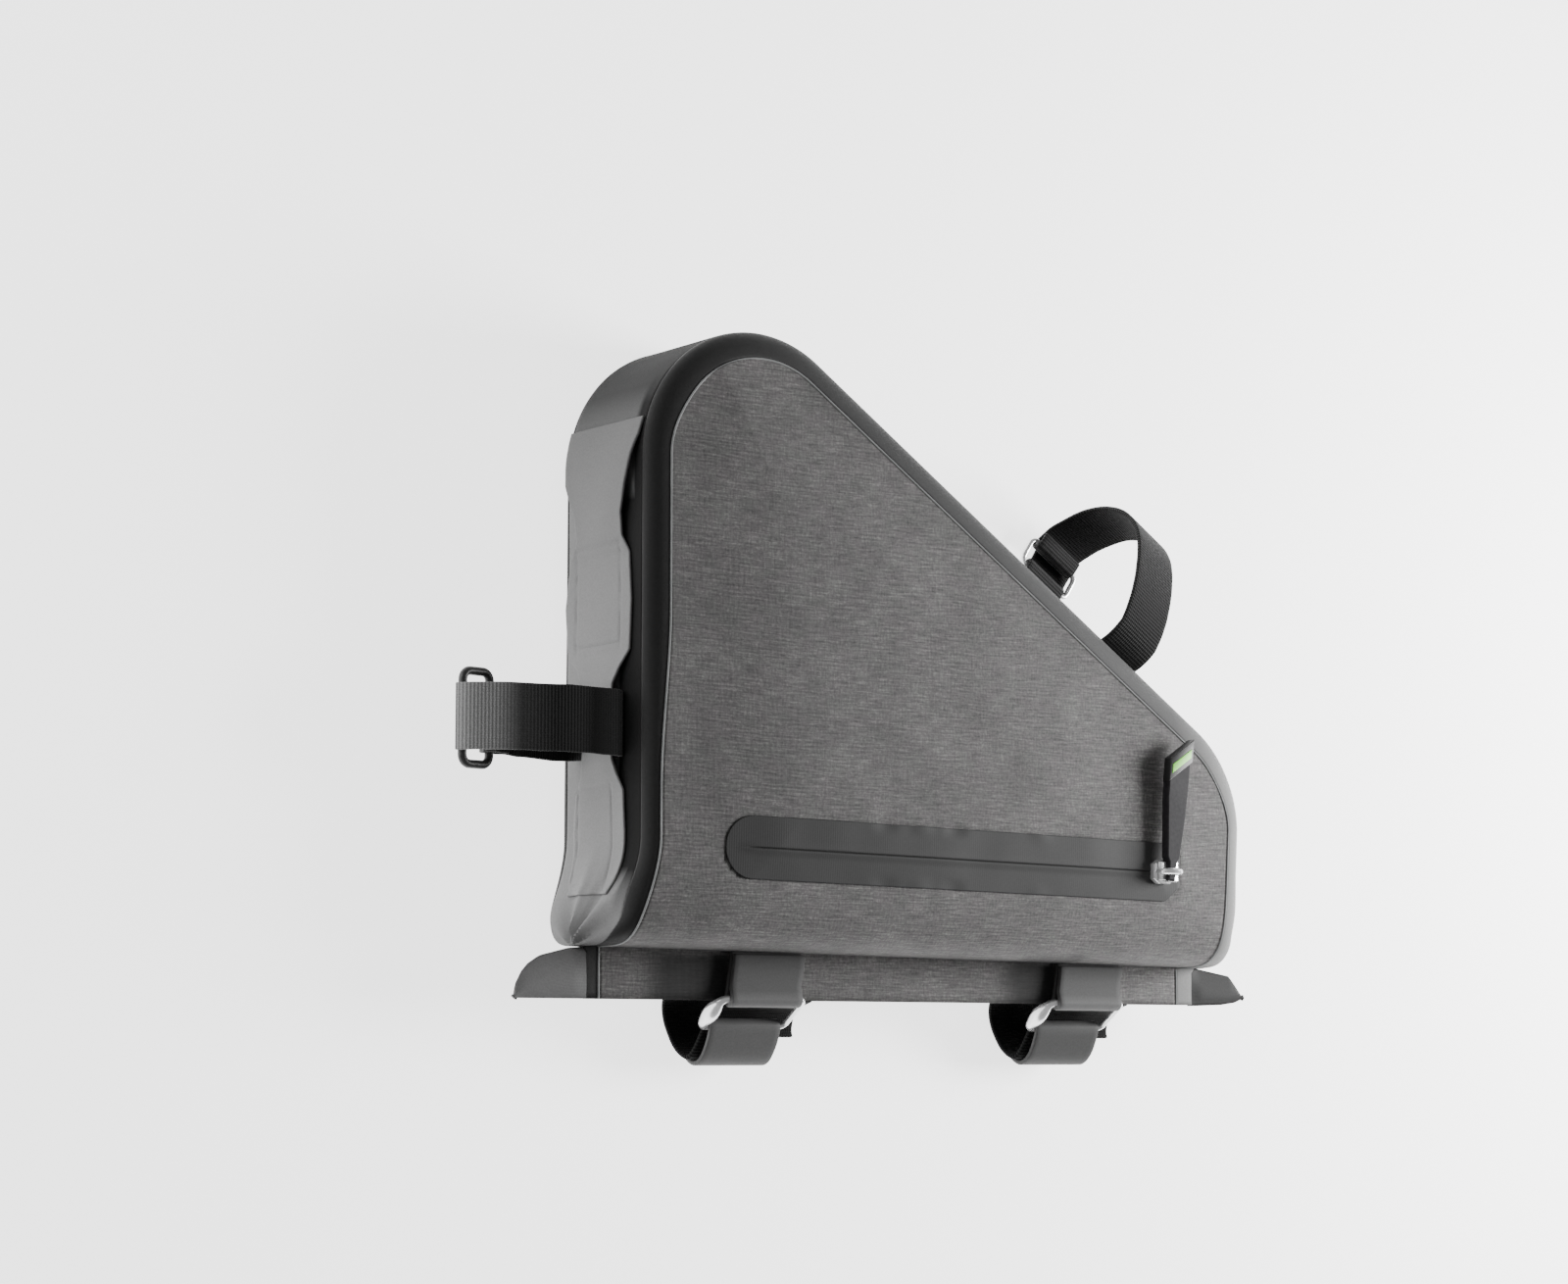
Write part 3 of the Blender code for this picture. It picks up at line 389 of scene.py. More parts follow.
COATED_FINISHES = (
    # name, (roughness, sheen, weave, specular), axis and span of the painted shading, its stops
    # Gusset: painted shade, darker towards the apex where the wall turns from the light; darker
    # again at the foot
    (
        "gusset",
        (0.62, 0.0, 0.35, 0.02),
        ("Y", FOLD_Y, APEX_Y),
        greys((0.0, 0.13), (0.1, 0.24), (0.7, 0.19), (0.82, 0.125), (0.9, 0.04), (1.0, 0.014)),
    ),
    # Overlay: painted shade, darker towards its top
    (
        "overlay",
        (0.62, 0.0, 0.35, 0.02),
        ("Y", FOLD_Y, APEX_Y),
        greys((0.0, 0.24), (0.4, 0.24), (1.0, 0.095)),
    ),
    # Band: a dark cloth, with painted light that grows towards the head
    (
        "band",
        (0.6, 0.05, 0.5, 0.12),
        ("X", SEAT_X - 0.01, HEAD_X + 0.01),
        greys((0.0, 0.016), (0.14, 0.021), (0.24, 0.032), (0.36, 0.042), (0.55, 0.054))
        + [(0.85, (0.088, 0.088, 0.088)), (1.0, (0.320, 0.320, 0.316))],
    ),
    # Wings: painted light on the seat wing, painted shade on the head wing
    (
        "wing",
        (0.62, 0.0, 0.5, 0.12),
        ("X", SEAT_X - 0.04, HEAD_X + 0.03),
        greys((0.0, 0.15), (0.3, 0.14), (0.7, 0.03), (1.0, 0.03)),
    ),
    # Tabs: a painted highlight on the lower fold round the ring
    (
        "tab",
        (0.6, 0.02, 0.35, 0.12),
        ("Y", FIN_EDGE_Y - 0.004, FOLD_Y),
        greys((0.0, 0.17), (0.35, 0.075), (1.0, 0.062)),
    ),
    # Top strap loops: painted light, the loop nearer the seat lighter than the other
    (
        "strap",
        (0.6, 0.02, 0.35, 0.12),
        ("X", SEAT_X, HEAD_X),
        greys((0.0, 0.1), (0.4, 0.095), (1.0, 0.06)),
    ),
)
HARD_FINISHES = (
    # name, material, roughness, metallic, specular, two shades, scales of shading and grain, depth
    ("metal", "ring_metal", 0.22, 0.7, 0.5, (0.86, 0.86, 0.87), (0.95,) * 3, 0.5, 1.1, 0.00006),
    ("plastic", "ring_plastic", 0.42, 0.0, 0.5, (0.012,) * 3, (0.024,) * 3, 0.9, 2.2, 0.00006),
    ("rubber", "pull_rubber", 0.62, 0.0, 0.12, (0.015, 0.014, 0.016), (0.024, 0.023, 0.025),
     0.7, 2.0, 0.00008),
    ("rim", "pull_rim", 0.45, 0.0, 0.4, (0.006,) * 3, (0.012,) * 3, 0.7, 2.0, 0.00006),
    ("green", "pull_green", 0.5, 0.0, 0.5, (0.26, 0.80, 0.10), (0.34, 0.90, 0.15), 0.8, 0, 0),
)


def make_finishes():
    """Every finish of the bag by name."""
    made = {"heather": heather_cloth()}
    for name, look, (axis, low, high), stops in COATED_FINISHES:
        made[name] = painted_shading(smooth_cloth(f"{name}_cloth", *look), axis, low, high, stops)
    dark_edge(made["gusset"])

    seam = smooth_cloth("seam_cloth", 0.5)
    marks = seam.sum(
        (0.35, seam.noise((1.6, 1.6, 1.6))), (0.65, seam.noise((0.05, 0.09, 0.05), 4.0))
    )
    seam.colour(seam.ramp(marks, ((0.35, (0.19, 0.195, 0.195)), (0.65, (0.27, 0.275, 0.275)))))
    made["seam"] = seam

    tape = Finish("zip_tape", 0.6, specular=0.12)
    ribs = tape.ridges((0.95, 0, 0))
    tape.bump(tape.sum((1.0, ribs), (0.5, tape.noise((1.2, 1.2, 1.2)))), 0.00005, 0.35)
    # Painted light: the zip's strip grows lighter towards the head
    start = SEAT_X + ZIP_FROM_SEAT
    shades = greys((0.0, 0.037), (0.3, 0.042), (1.0, 0.05))
    made["tape"] = painted_shading(tape, "X", start, start + ZIP_LENGTH, shades)

    made["webbing"] = webbing_cloth("webbing", 0.008, 0.030)
    made["inner_webbing"] = webbing_cloth("inner_webbing", 0.002, 0.006)
    # Painted light and shade along the seat strap: its outer end and root lighter, its middle near
    # black
    made["seat_webbing"] = painted_shading(
        webbing_cloth("seat_webbing"),
        "X",
        SEAT_X - SEAT_STRAP_REACH - 0.003,
        SEAT_X,
        greys((0.0, 0.23), (0.17, 0.19), (0.3, 0.032), (0.5, 0.007), (0.72, 0.018), (1.0, 0.1)),
    )
    for row in HARD_FINISHES:
        name, material, rough, metallic, specular, dark, light, shading, grain, depth = row
        hard = Finish(material, rough, metallic, specular=specular)
        hard.colour(hard.ramp(hard.noise((shading,) * 3), ((0.3, dark), (0.7, light))))
        if depth:
            hard.bump(hard.noise((grain,) * 3, 4.0), depth, 0.4)
        made[name] = hard
    return made


FINISHES = make_finishes()


# Shape helpers


def smoothstep(t):
    t = min(1.0, max(0.0, t))
    return t * t * (3 - 2 * t)


def blend(a, b, t):
    return a + (b - a) * t


def hump(t, width):
    """1 at zero, falling smoothly to 0 at plus or minus width."""
    return 1 - smoothstep(abs(t) / width)


def between(table, t):
    """A value from (place, value) rows, straight between them."""
    for (a, first), (b, second) in zip(table, table[1:]):
        if t <= b:
            return blend(first, second, max(0.0, (t - a) / (b - a)))
    return table[-1][1]


def ruffle(x, y, scale, seed=0.0):
    """Smooth unevenness of cloth, from -1 to 1."""
    return noise.noise(Vector((x * scale, y * scale, seed)))


def fold_y(x):
    return FOLD_Y - FOLD_DROP * (x - SEAT_X) / BODY_LENGTH + FOLD_DROP / 2


def pinch_share(x, y):
    return min(1.0, max(0.0, (fold_y(x) + PINCH_LENGTH - y) / PINCH_LENGTH))


def half_depth(x, y):
    closing = (1 - pinch_share(x, y) ** PINCH_POWER) ** (1 / PINCH_POWER)
    return FIN_HALF + (HALF_DEPTH - FIN_HALF) * closing


def band_width(ny, y, side):
    """The band narrows low on the seat side and is wider where it faces the slant and the apex."""
    low = smoothstep((FOLD_Y + 0.130 - y) / 0.070) if side < 0 else 0.0
    return blend(BAND_WIDTH - 0.0040 * low, BAND_WIDTH + 0.0020, smoothstep(ny / 0.6))


def panel_inset(y, side):
    """How far the front panel's edge lies inside the body's outline at a height."""
    if side < 0 or y > APEX_CENTRE[1] + APEX_RADIUS * SLANT_NORMAL[1]:
        ny = (y - APEX_CENTRE[1]) / APEX_RADIUS
    else:
        ny = min(SLANT_NORMAL[1], (y - CORNER_CENTRE[1]) / CORNER_RADIUS)
    return band_width(min(1.0, max(0.0, ny)), y, side) + GAP


def left_x(y, inset):
    if y > APEX_CENTRE[1]:
        radius = APEX_RADIUS - inset
        rise = min(radius, y - APEX_CENTRE[1])
        return APEX_CENTRE[0] - math.sqrt(radius**2 - rise**2)
    return SEAT_X + inset - SEAT_FLARE * smoothstep(pinch_share(SEAT_X, y))


def right_x(y, inset):
    apex_radius = APEX_RADIUS - inset
    corner_radius = CORNER_RADIUS - inset
    if y > APEX_CENTRE[1] + apex_radius * SLANT_NORMAL[1]:
        rise = min(apex_radius, y - APEX_CENTRE[1])
        return APEX_CENTRE[0] + math.sqrt(apex_radius**2 - rise**2)
    if y > CORNER_CENTRE[1] + corner_radius * SLANT_NORMAL[1]:
        return (SLANT_OFFSET - inset - y * SLANT_NORMAL[1]) / SLANT_NORMAL[0]
    if y > CORNER_CENTRE[1]:
        return CORNER_CENTRE[0] + math.sqrt(corner_radius**2 - (y - CORNER_CENTRE[1]) ** 2)
    fall = (CORNER_CENTRE[1] - y) / (CORNER_CENTRE[1] - FOLD_Y)
    return HEAD_X - inset - HEAD_LEAN * min(1.0, fall)


def edge_distance(x, y):
    slant = SLANT_OFFSET - x * SLANT_NORMAL[0] - y * SLANT_NORMAL[1]
    return min(x - SEAT_X, HEAD_X - x, slant, y - FIN_EDGE_Y)


def panel_z(x, y):
    inward = (edge_distance(x, y) - BAND_WIDTH) / PUFF_REACH
    swell = PUFF * smoothstep(inward) * (1 - pinch_share(x, y))
    return HALF_DEPTH + half_depth(x, y) + swell


def back_z(x, y):
    return HALF_DEPTH - half_depth(x, y)


# Pieces


def finish_piece(bm, name, finishes, nodes=(), slot=None, sharp=40):
    """Makes the object, rides it on the body and hides the imported nodes it stands for."""
    mesh = as_mesh(name, bm)
    for finish in finishes:
        mesh.materials.append(FINISHES[finish].material)
    mesh.shade_smooth()
    mesh.set_sharp_from_angle(angle=math.radians(sharp))
    piece = placed(name, mesh)
    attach(piece, "root")
    if nodes:
        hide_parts(*nodes)
    return piece


def cloth_grid(columns, rows, place, flat=None):
    """A sheet of cloth: a grid whose points are moved by place(i, j), both from 0 to 1.
    Its UV map holds metres along the cloth, or what flat(point) says."""
    bm = bmesh.new()
    bmesh.ops.create_grid(bm, x_segments=columns, y_segments=rows, size=0.5)
    seats = {}
    for vert in bm.verts:
        i, j = round((vert.co.x + 0.5) * columns), round((vert.co.y + 0.5) * rows)
        seats[vert] = (i, j)
    points = {key: Vector(place(key[0] / columns, key[1] / rows)) for key in seats.values()}
    across, up = [0.0], [0.0]
    middle_i, middle_j = columns // 2, rows // 2
    for i in range(columns):
        across.append(across[-1] + (points[i + 1, middle_j] - points[i, middle_j]).length)
    for j in range(rows):
        up.append(up[-1] + (points[middle_i, j + 1] - points[middle_i, j]).length)
    for vert, key in seats.items():
        vert.co = points[key]
    layer = bm.loops.layers.uv.new("flat")
    for face in bm.faces:
        for loop in face.loops:
            i, j = seats[loop.vert]
            loop[layer].uv = flat(loop.vert.co) if flat else (across[i], up[j])
    bmesh.ops.remove_doubles(bm, verts=bm.verts[:], dist=1e-6)
    return bm


def face_away(bm, centre):
    """Turns an open sheet so that its faces look away from a point."""
    bm.normal_update()
    facing = sum(
        face.normal.dot(face.calc_center_median() - centre) * face.calc_area() for face in bm.faces
    )
    if facing < 0:
        bmesh.ops.reverse_faces(bm, faces=bm.faces[:])


def wall(piece, thickness, offset=-1.0):
    """Gives a sheet its thickness, inwards unless offset says otherwise."""
    shell = piece.modifiers.new("wall", "SOLIDIFY")
    shell.thickness = thickness
    shell.offset = offset
    shell.use_even_offset = True
    return shell


BODY_MIDDLE = Vector((-0.03, -0.02, HALF_DEPTH))


def sheet(name, columns, rows, place, finish, nodes, slot, thickness=SKIN, centre=BODY_MIDDLE,
          flat=None, sharp=40):
    """A piece of cloth with its outer side away from the centre."""
    bm = cloth_grid(columns, rows, place, flat)
    face_away(bm, centre)
    wall(finish_piece(bm, name, [finish], nodes, slot, sharp), thickness)


def front_detail(x, y):
    """Small unevenness of the front cloth: slack near the zip and along the fold."""
    free = smoothstep((edge_distance(x, y) - BAND_WIDTH) / 0.02) * (1 - pinch_share(x, y))
    along = (x - SEAT_X) / BODY_LENGTH
    slack = 0.0005 * ruffle(x, y, 18.0) + 0.00022 * ruffle(x, y, 55.0, 3.0)
    _, zip_y = zip_flat(x, y)
    pucker = 0.0
    for where, amount in ((0.36, -0.0005), (0.42, 0.0004), (0.475, -0.0006), (0.62, 0.0003)):
        beside = hump(abs(zip_y) - ZIP_WIDTH * 0.52, 0.006)
        pucker += amount * hump(along - where, 0.025) * beside
    return free * (slack + pucker)


def zip_line(along, up):
    x = SEAT_X + ZIP_FROM_SEAT + along * math.cos(ZIP_TILT) - up * math.sin(ZIP_TILT)
    y = FOLD_Y + ZIP_FROM_FOLD + along * math.sin(ZIP_TILT) + up * math.cos(ZIP_TILT)
    return x, y


def zip_flat(x, y):
    """The way back from a place on the panel to (along, up) of the zip."""
    dx, dy = x - SEAT_X - ZIP_FROM_SEAT, y - FOLD_Y - ZIP_FROM_FOLD
    return (
        dx * math.cos(ZIP_TILT) + dy * math.sin(ZIP_TILT),
        -dx * math.sin(ZIP_TILT) + dy * math.cos(ZIP_TILT),
    )


def zip_half_width(along, side):
    radius = ZIP_WIDTH / 2
    if along < radius:
        return math.sqrt(max(0.0, radius**2 - (radius - along) ** 2))
    bevel = along - (ZIP_LENGTH - ZIP_BEVEL)
    if side < 0 and bevel > 0:
        return radius - 0.8 * bevel
    return radius


def zip_recess(x, y):
    """The panel sits a little lower under the zip's strip."""
    along, up = zip_flat(x, y)
    if not 0 < along < ZIP_LENGTH:
        return 0.0
    room = min(zip_half_width(along, up) - abs(up), ZIP_LENGTH - along)
    return -0.0012 * smoothstep(room / 0.0012)


def panel_place(height, fin, pinch, body, apex):
    """Rows from the fin's edge to the apex, counted in each stretch, as a place function."""
    total = fin + pinch + body + apex
    top = APEX_CENTRE[1]

    def across(y, u):
        return blend(left_x(y, panel_inset(y, -1)), right_x(y, panel_inset(y, 1)), u)

    def place(u, v):
        row = round(v * total)
        x = across(FIN_EDGE_Y, u)
        if row < fin:
            y = blend(FIN_EDGE_Y, fold_y(x), row / fin)
            return (x, y, height(x, y))
        row -= fin
        if row < pinch:
            depth = PINCH_LENGTH * (1 - math.cos(math.pi / 2 * row / pinch))
            x = across(fold_y(x) + depth, u)
            y = fold_y(x) + depth
            return (x, y, height(x, y))
        if row < pinch + body:
            y = blend(fold_y(x) + PINCH_LENGTH, top, (row - pinch) / body)
        else:
            turn = math.pi / 2 * (row - pinch - body) / apex
            y = top + (APEX_RADIUS - panel_inset(APEX_Y, -1)) * math.sin(turn)
        x = across(y, u)
        return (x, y, height(x, y))

    return place, total


def front_panel():
    def height(x, y):
        return panel_z(x, y) + front_detail(x, y) + zip_recess(x, y)

    place, rows = panel_place(height, 6, 20, 110, 30)
    start = Vector(place(0.5, 0))

    def flat(point):
        depth = panel_z(start.x, FIN_EDGE_Y) - point.z
        return (point.x, point.y - 0.6 * depth)

    sheet("front_cloth", 170, rows, place, "heather", ["front_panel"], "heather_cloth",
          flat=flat)


def back_panel():
    def height(x, y):
        near = smoothstep((edge_distance(x, y) - BAND_WIDTH) / 0.03)
        lift = 0.0006 * max(0.0, ruffle(x, y, 16.0, 7.0)) * near
        return back_z(x, y) + lift

    place, rows = panel_place(height, 4, 16, 40, 20)

    def flat(point):
        return (point.x, point.y + 0.6 * point.z)

    sheet("back_cloth", 70, rows, place, "heather", ["back_panel"], "heather_cloth",
          flat=flat)


# Gusset: the wall round the sides, its dark bands, and the flat wings at its ends


def on_round(centre, radius, nx, ny):
    """The station on one of the outline's rounds in a direction."""
    return (centre[0] + radius * nx, centre[1] + radius * ny, nx, ny)


def rim_stations():
    """(x, y, normal x, normal y) round the body from the seat foot to the head foot."""
    made = []
    pinch, side, apex, slant, corner = 26, 46, 44, 60, 26
    rises = [PINCH_LENGTH * (1 - math.cos(math.pi / 2 * (k + 0.1) / pinch)) for k in range(pinch)]
    foot = fold_y(SEAT_X)
    for rise in rises:
        made.append((left_x(foot + rise, 0), foot + rise, -1.0, 0.0))
    start = foot + PINCH_LENGTH * 1.01
    for k in range(side):
        made.append((SEAT_X, blend(start, APEX_CENTRE[1], k / side), -1.0, 0.0))
    for k in range(apex):
        angle = blend(math.pi, NORMAL_ANGLE, k / apex)
        made.append(on_round(APEX_CENTRE, APEX_RADIUS, math.cos(angle), math.sin(angle)))
    first = on_round(APEX_CENTRE, APEX_RADIUS, *SLANT_NORMAL)
    last = on_round(CORNER_CENTRE, CORNER_RADIUS, *SLANT_NORMAL)
    for k in range(slant):
        made.append(tuple(blend(a, b, k / slant) for a, b in zip(first, last)))
    for k in range(corner + 1):
        angle = blend(NORMAL_ANGLE, 0.0, k / corner)
        made.append(on_round(CORNER_CENTRE, CORNER_RADIUS, math.cos(angle), math.sin(angle)))
    foot = fold_y(HEAD_X)
    for rise in reversed(rises):
        made.append((right_x(foot + rise, 0), foot + rise, 1.0, 0.0))
    return made


def ear_bulge(y, share):
    return EAR_BULGE * smoothstep(pinch_share(0, y)) * math.cos(math.pi / 2 * share)


PLEATS = (
    # height of a fold's ridge or depth of its valley, its angle from straight up, half its width
    (0.0022, 44, 15),
    (-0.0024, 18, 15),
    (0.0016, -8, 12),
    (-0.0020, -34, 17),
    (0.0012, -60, 15),
    (-0.0015, 66, 12),
)


def pleat_folds(y, share):
    """Folds that fan out from where the gusset is gathered into the fin."""
    rise = y - fold_y(SEAT_X)
    depth = share * half_depth(SEAT_X, y)
    reach = math.hypot(rise, depth)
    angle = math.degrees(math.atan2(depth, max(rise, 1e-5)))
    window = smoothstep(reach / 0.006) * (1 - smoothstep((reach - 0.014) / 0.030))
    return window * sum(rise * hump(angle - at, width) for rise, at, width in PLEATS)


WALL_EDGE = 1 - BAND_DROP / HALF_DEPTH
GUSSET_SLACK = 0.0007


def gusset_wall():
    """The light wall between the front and back bands."""
    stations = rim_stations()
    count = len(stations) - 1

    def place(u, v):
        x, y, nx, ny = stations[round(u * count)]
        share = blend(-WALL_EDGE, WALL_EDGE, v)
        half = half_depth(x, y)
        outward = 0.0
        if ny == 0:
            outward += ear_bulge(y, share)
            outward += pleat_folds(y, share)
        loose = (1 - share**2) * smoothstep(1 - pinch_share(x, y))
        along = nx * 3.0 + ny * 2.0
        outward += GUSSET_SLACK * loose * ruffle(x + y, share * 0.03, 24.0, along)
        return (x + nx * outward, y + ny * outward, HALF_DEPTH + share * half)

    sheet("gusset_wall", count, 44, place, "gusset", ["gusset"], "coated_cloth")


def band_stations():
    """The rim's stations, carried on down both ends of the fin."""
    body = rim_stations()
    steps = 8
    seat = [
        (left_x(y, 0), y, -1.0, 0.0)
        for y in [blend(FIN_EDGE_Y, fold_y(SEAT_X), k / steps) for k in range(steps)]
    ]
    head = [
        (right_x(y, 0), y, 1.0, 0.0)
        for y in [blend(fold_y(HEAD_X), FIN_EDGE_Y, (k + 1) / steps) for k in range(steps)]
    ]
    return seat + body + head


def band_turn(share, side, half, width):
    """A point of the band's rounding: how far in it lies and how high, share going inwards."""
    angle = math.pi / 2 * share
    straight = WALL_EDGE
    rise = straight + (1 - straight) * math.sin(angle)
    return width * (1 - math.cos(angle)), side * rise * half


def band(name, side):
    stations = band_stations()
    count = len(stations) - 1

    def place(u, v):
        x, y, nx, ny = stations[round(u * count)]
        half = half_depth(x, y)
        width = band_width(ny, y, nx)
        inset, height = band_turn(v, side, half, width)
        outward = -inset
        if ny == 0 and y > fold_y(x) - GAP:
            edge = side * WALL_EDGE
            outward += (ear_bulge(y, edge) + pleat_folds(y, edge)) * (1 - v) ** 2
        return (x + nx * outward, y + ny * outward, HALF_DEPTH + height)

    sheet(name, count, 12, place, "band", (), "coated_cloth")


def tube(points, radius, sides=10, closed=False, taper=None):
    """A round wire or bead through points: a circle carried along them and bridged."""
    bm = bmesh.new()
    count = len(points)
    rings = []
    frame_up = Vector((0, 0, 1))
    for k, point in enumerate(points):
        before = points[(k - 1) % count] if closed else points[max(0, k - 1)]
        after = points[(k + 1) % count] if closed else points[min(count - 1, k + 1)]
        ahead = (Vector(after) - Vector(before)).normalized()
        side = ahead.cross(frame_up)
        if side.length < 0.05:
            side = ahead.cross(Vector((1, 0, 0)))
        side.normalize()
        frame_up = side.cross(ahead).normalized()
        size = radius * (taper(k / (count - 1)) if taper else 1.0)
        turn = Matrix((side, frame_up, ahead)).transposed().to_4x4()
        made = bmesh.ops.create_circle(
            bm, segments=sides, radius=size, matrix=Matrix.Translation(point) @ turn
        )
        edges = {edge for vert in made["verts"] for edge in vert.link_edges}
        rings.append(list(edges))
    pairs = list(zip(rings, rings[1:]))
    if closed:
        pairs.append((rings[-1], rings[0]))
    for low, high in pairs:
        bmesh.ops.bridge_loops(bm, edges=low + high)
    if not closed:
        for ends in (rings[0], rings[-1]):
            bmesh.ops.contextual_create(bm, geom=ends)
    bmesh.ops.recalc_face_normals(bm, faces=bm.faces[:])
    return bm


def join(bm, other):
    """Adds another bmesh's shape to this one."""
    mesh = as_mesh("joined", other)
    bm.from_mesh(mesh)
    bpy.data.meshes.remove(mesh)


SEAM_RADIUS = 0.00042


def seam_line():
    """The thin light edge where the band is welded to the front panel."""
    stations = band_stations()
    points = []
    for x, y, nx, ny in stations:
        inner = band_width(ny, y, nx) + GAP / 2
        px, py = x - nx * inner, y - ny * inner
        points.append((px, py, HALF_DEPTH + half_depth(x, y) + 0.00005))
    bm = tube(points, SEAM_RADIUS, 8)
    finish_piece(bm, "seam_bead", ["seam"], (), "coated_cloth")


SEAT_WING_TOP = (
    # place from the band outwards in metres, height over the fin's edge
    (0.0000, 0.0195),
    (0.0080, 0.0190),
    (0.0210, 0.0160),
    (0.0260, 0.0130),
    (0.0290, 0.0100),
    (0.0320, 0.0052),
    (0.0330, 0.0000),
)
HEAD_WING_TOP = (
    (0.0000, 0.0165),
    (0.0090, 0.0150),
    (0.0240, 0.0125),
    (0.0270, 0.0092),
    (0.0300, 0.0055),
    (0.0315, 0.0036),
)
HEAD_WING_LOW = (
    (0.0000, -0.0004),
    (0.0180, 0.0002),
    (0.0260, 0.0012),
    (0.0315, 0.0032),
)


def wings():
    """The flat ends of the gusset beside the fin, with a crease along each."""
    for name, side, top, low in (
        ("seat_wing", -1, SEAT_WING_TOP, ((0.0, 0.0), (1.0, 0.0))),
        ("head_wing", 1, HEAD_WING_TOP, HEAD_WING_LOW),
    ):
        root = left_x(FIN_EDGE_Y, 0) if side < 0 else right_x(FIN_EDGE_Y, 0)
        length = top[-1][0]

        def place(u, v):
            out = length * (1 - (1 - u) ** 1.4)
            high, floor = between(top, out), between(low, out)
            y = FIN_EDGE_Y + blend(floor, high, v)
            crease = 0.62 - 0.12 * u
            fade = smoothstep(u * 6) * (1 - 0.6 * u)
            lean = -0.0022 * max(0.0, v - crease) / (1 - crease) * fade
            belly = 0.0008 * math.sin(math.pi * min(1.0, v / crease)) * fade
            edge = 0.0003 * ruffle(out, v * 0.02, 90.0, 2.0)
            x = root + side * (out - 0.0012)
            return (x, y, HALF_DEPTH + FIN_HALF * 0.8 + lean + belly + edge * u)

        below = Vector((root, FIN_EDGE_Y, 0))
        sheet(name, 30, 14, place, "wing", (), "coated_cloth", CLOTH, below, sharp=25)


# Overlay strip on the seat side

OVERLAY_THICKNESS = 0.0007
EMBOSS_DEPTH = 0.00045
OVERLAY_SECTIONS = (
    # height as a share of the strip, lift as a share of SLOT_LIFT, narrowing of the front edge
    (0.000, 0.0, 0.75),
    (0.030, 0.0, 0.60),
    (0.130, 0.0, 0.50),
    (0.215, 0.0, 0.60),
    (0.250, 0.5, 0.90),
    (0.280, 1.0, 1.00),
    (0.360, 1.0, 1.10),
    (0.440, 1.0, 1.00),
    (0.475, 0.5, 0.70),
    (0.510, 0.0, 0.15),
    (0.615, 0.0, 0.00),
    (0.715, 0.0, 0.20),
    (0.750, 0.5, 0.60),
    (0.800, 0.8, 0.55),
    (0.860, 0.8, 0.15),
    (0.920, 0.6, -0.25),
    (0.965, 0.1, -0.50),
    (1.000, 0.0, -0.55),
)
# Embossed outlines of the welded patches: low and high as shares of the strip, back and front as
# shares of the strip's half width
PATCHES = (
    (0.020, 0.225, -0.80, 0.36),
    (0.525, 0.735, -0.90, 0.62),
)


def seat_wall_x(y, z):
    """X of the seat side's wall, with its bulge and folds."""
    share = (z - HALF_DEPTH) / half_depth(SEAT_X, y)
    share = min(1.0, max(-1.0, share))
    return left_x(y, 0) - ear_bulge(y, share) - pleat_folds(y, share)


def overlay():
    low = fold_y(SEAT_X) + OVERLAY_LOW
    lifts = [(row[0], row[1]) for row in OVERLAY_SECTIONS]
    narrows = [(row[0], row[2]) for row in OVERLAY_SECTIONS]

    def emboss(height, across):
        depth = 0.0
        for first, last, back, front in PATCHES:
            if first - 0.01 < height < last + 0.01 and back - 0.05 < across < front + 0.05:
                side = min(abs(height - first), abs(height - last)) * OVERLAY_LENGTH
                end = min(abs(across - back), abs(across - front)) * OVERLAY_FRONT
                depth = max(depth, hump(min(side, end), 0.0009))
        return EMBOSS_DEPTH * depth

    def place(u, v):
        y = low + v * OVERLAY_LENGTH
        narrow = between(narrows, v)
        front = OVERLAY_FRONT - narrow * OVERLAY_NARROWING
        back = -blend(OVERLAY_BACK, OVERLAY_FRONT - OVERLAY_NARROWING, max(0.0, narrow))
        z = HALF_DEPTH + blend(back, front, u)
        lift = between(lifts, v) * SLOT_LIFT * (0.35 + 0.65 * smoothstep(u * 1.2))
        bow = 0.0005 * ruffle(y, z, 40.0, 5.0)
        out = 2 * GAP + OVERLAY_THICKNESS + lift + bow
        out -= emboss(v, blend(back, front, u) / OVERLAY_FRONT)
        return (seat_wall_x(y, z) - out, y, z)

    sheet("overlay_cloth", 44, 190, place, "overlay", ["seat_overlay"], "coated_cloth",
          CLOTH * 0.6)


# Zip


def zip_strip():
    """The rubbery strip over the zip: two welded halves that meet over the coil."""

    def place(u, v):
        along = ZIP_LENGTH * u
        if u < 0.1:
            along = ZIP_LENGTH * 0.1 * (1 - math.cos(math.pi / 2 * u / 0.1))
        across = 2 * v - 1
        half = zip_half_width(along, across)
        up = across * half
        x, y = zip_line(along, up)
        coil = 0.0004 * hump(up, 0.0035) * smoothstep((along - 0.004) / 0.01)
        slit = -0.0006 * hump(up, 0.0005) * smoothstep((along - 0.006) / 0.01)
        z = panel_z(x, y) + front_detail(x, y) + 0.00045 + coil + slit
        return (x, y, z)

    nodes = ["zip_tape_upper", "zip_tape_lower", "zip_coil"]
    sheet("zip_strip", 150, 64, place, "tape", nodes, "zip_tape", CLOTH * 0.5)


def slider_seat():
    x, y = zip_line(ZIP_LENGTH - SLIDER_FROM_END - SLIDER_LENGTH / 2, 0)
    return Vector((x, y, panel_z(x, y)))


def bevel_edges(bm, edges, width, segments):
    bmesh.ops.bevel(
        bm, geom=edges, offset=width, segments=segments, profile=0.5, affect="EDGES", material=-1
    )


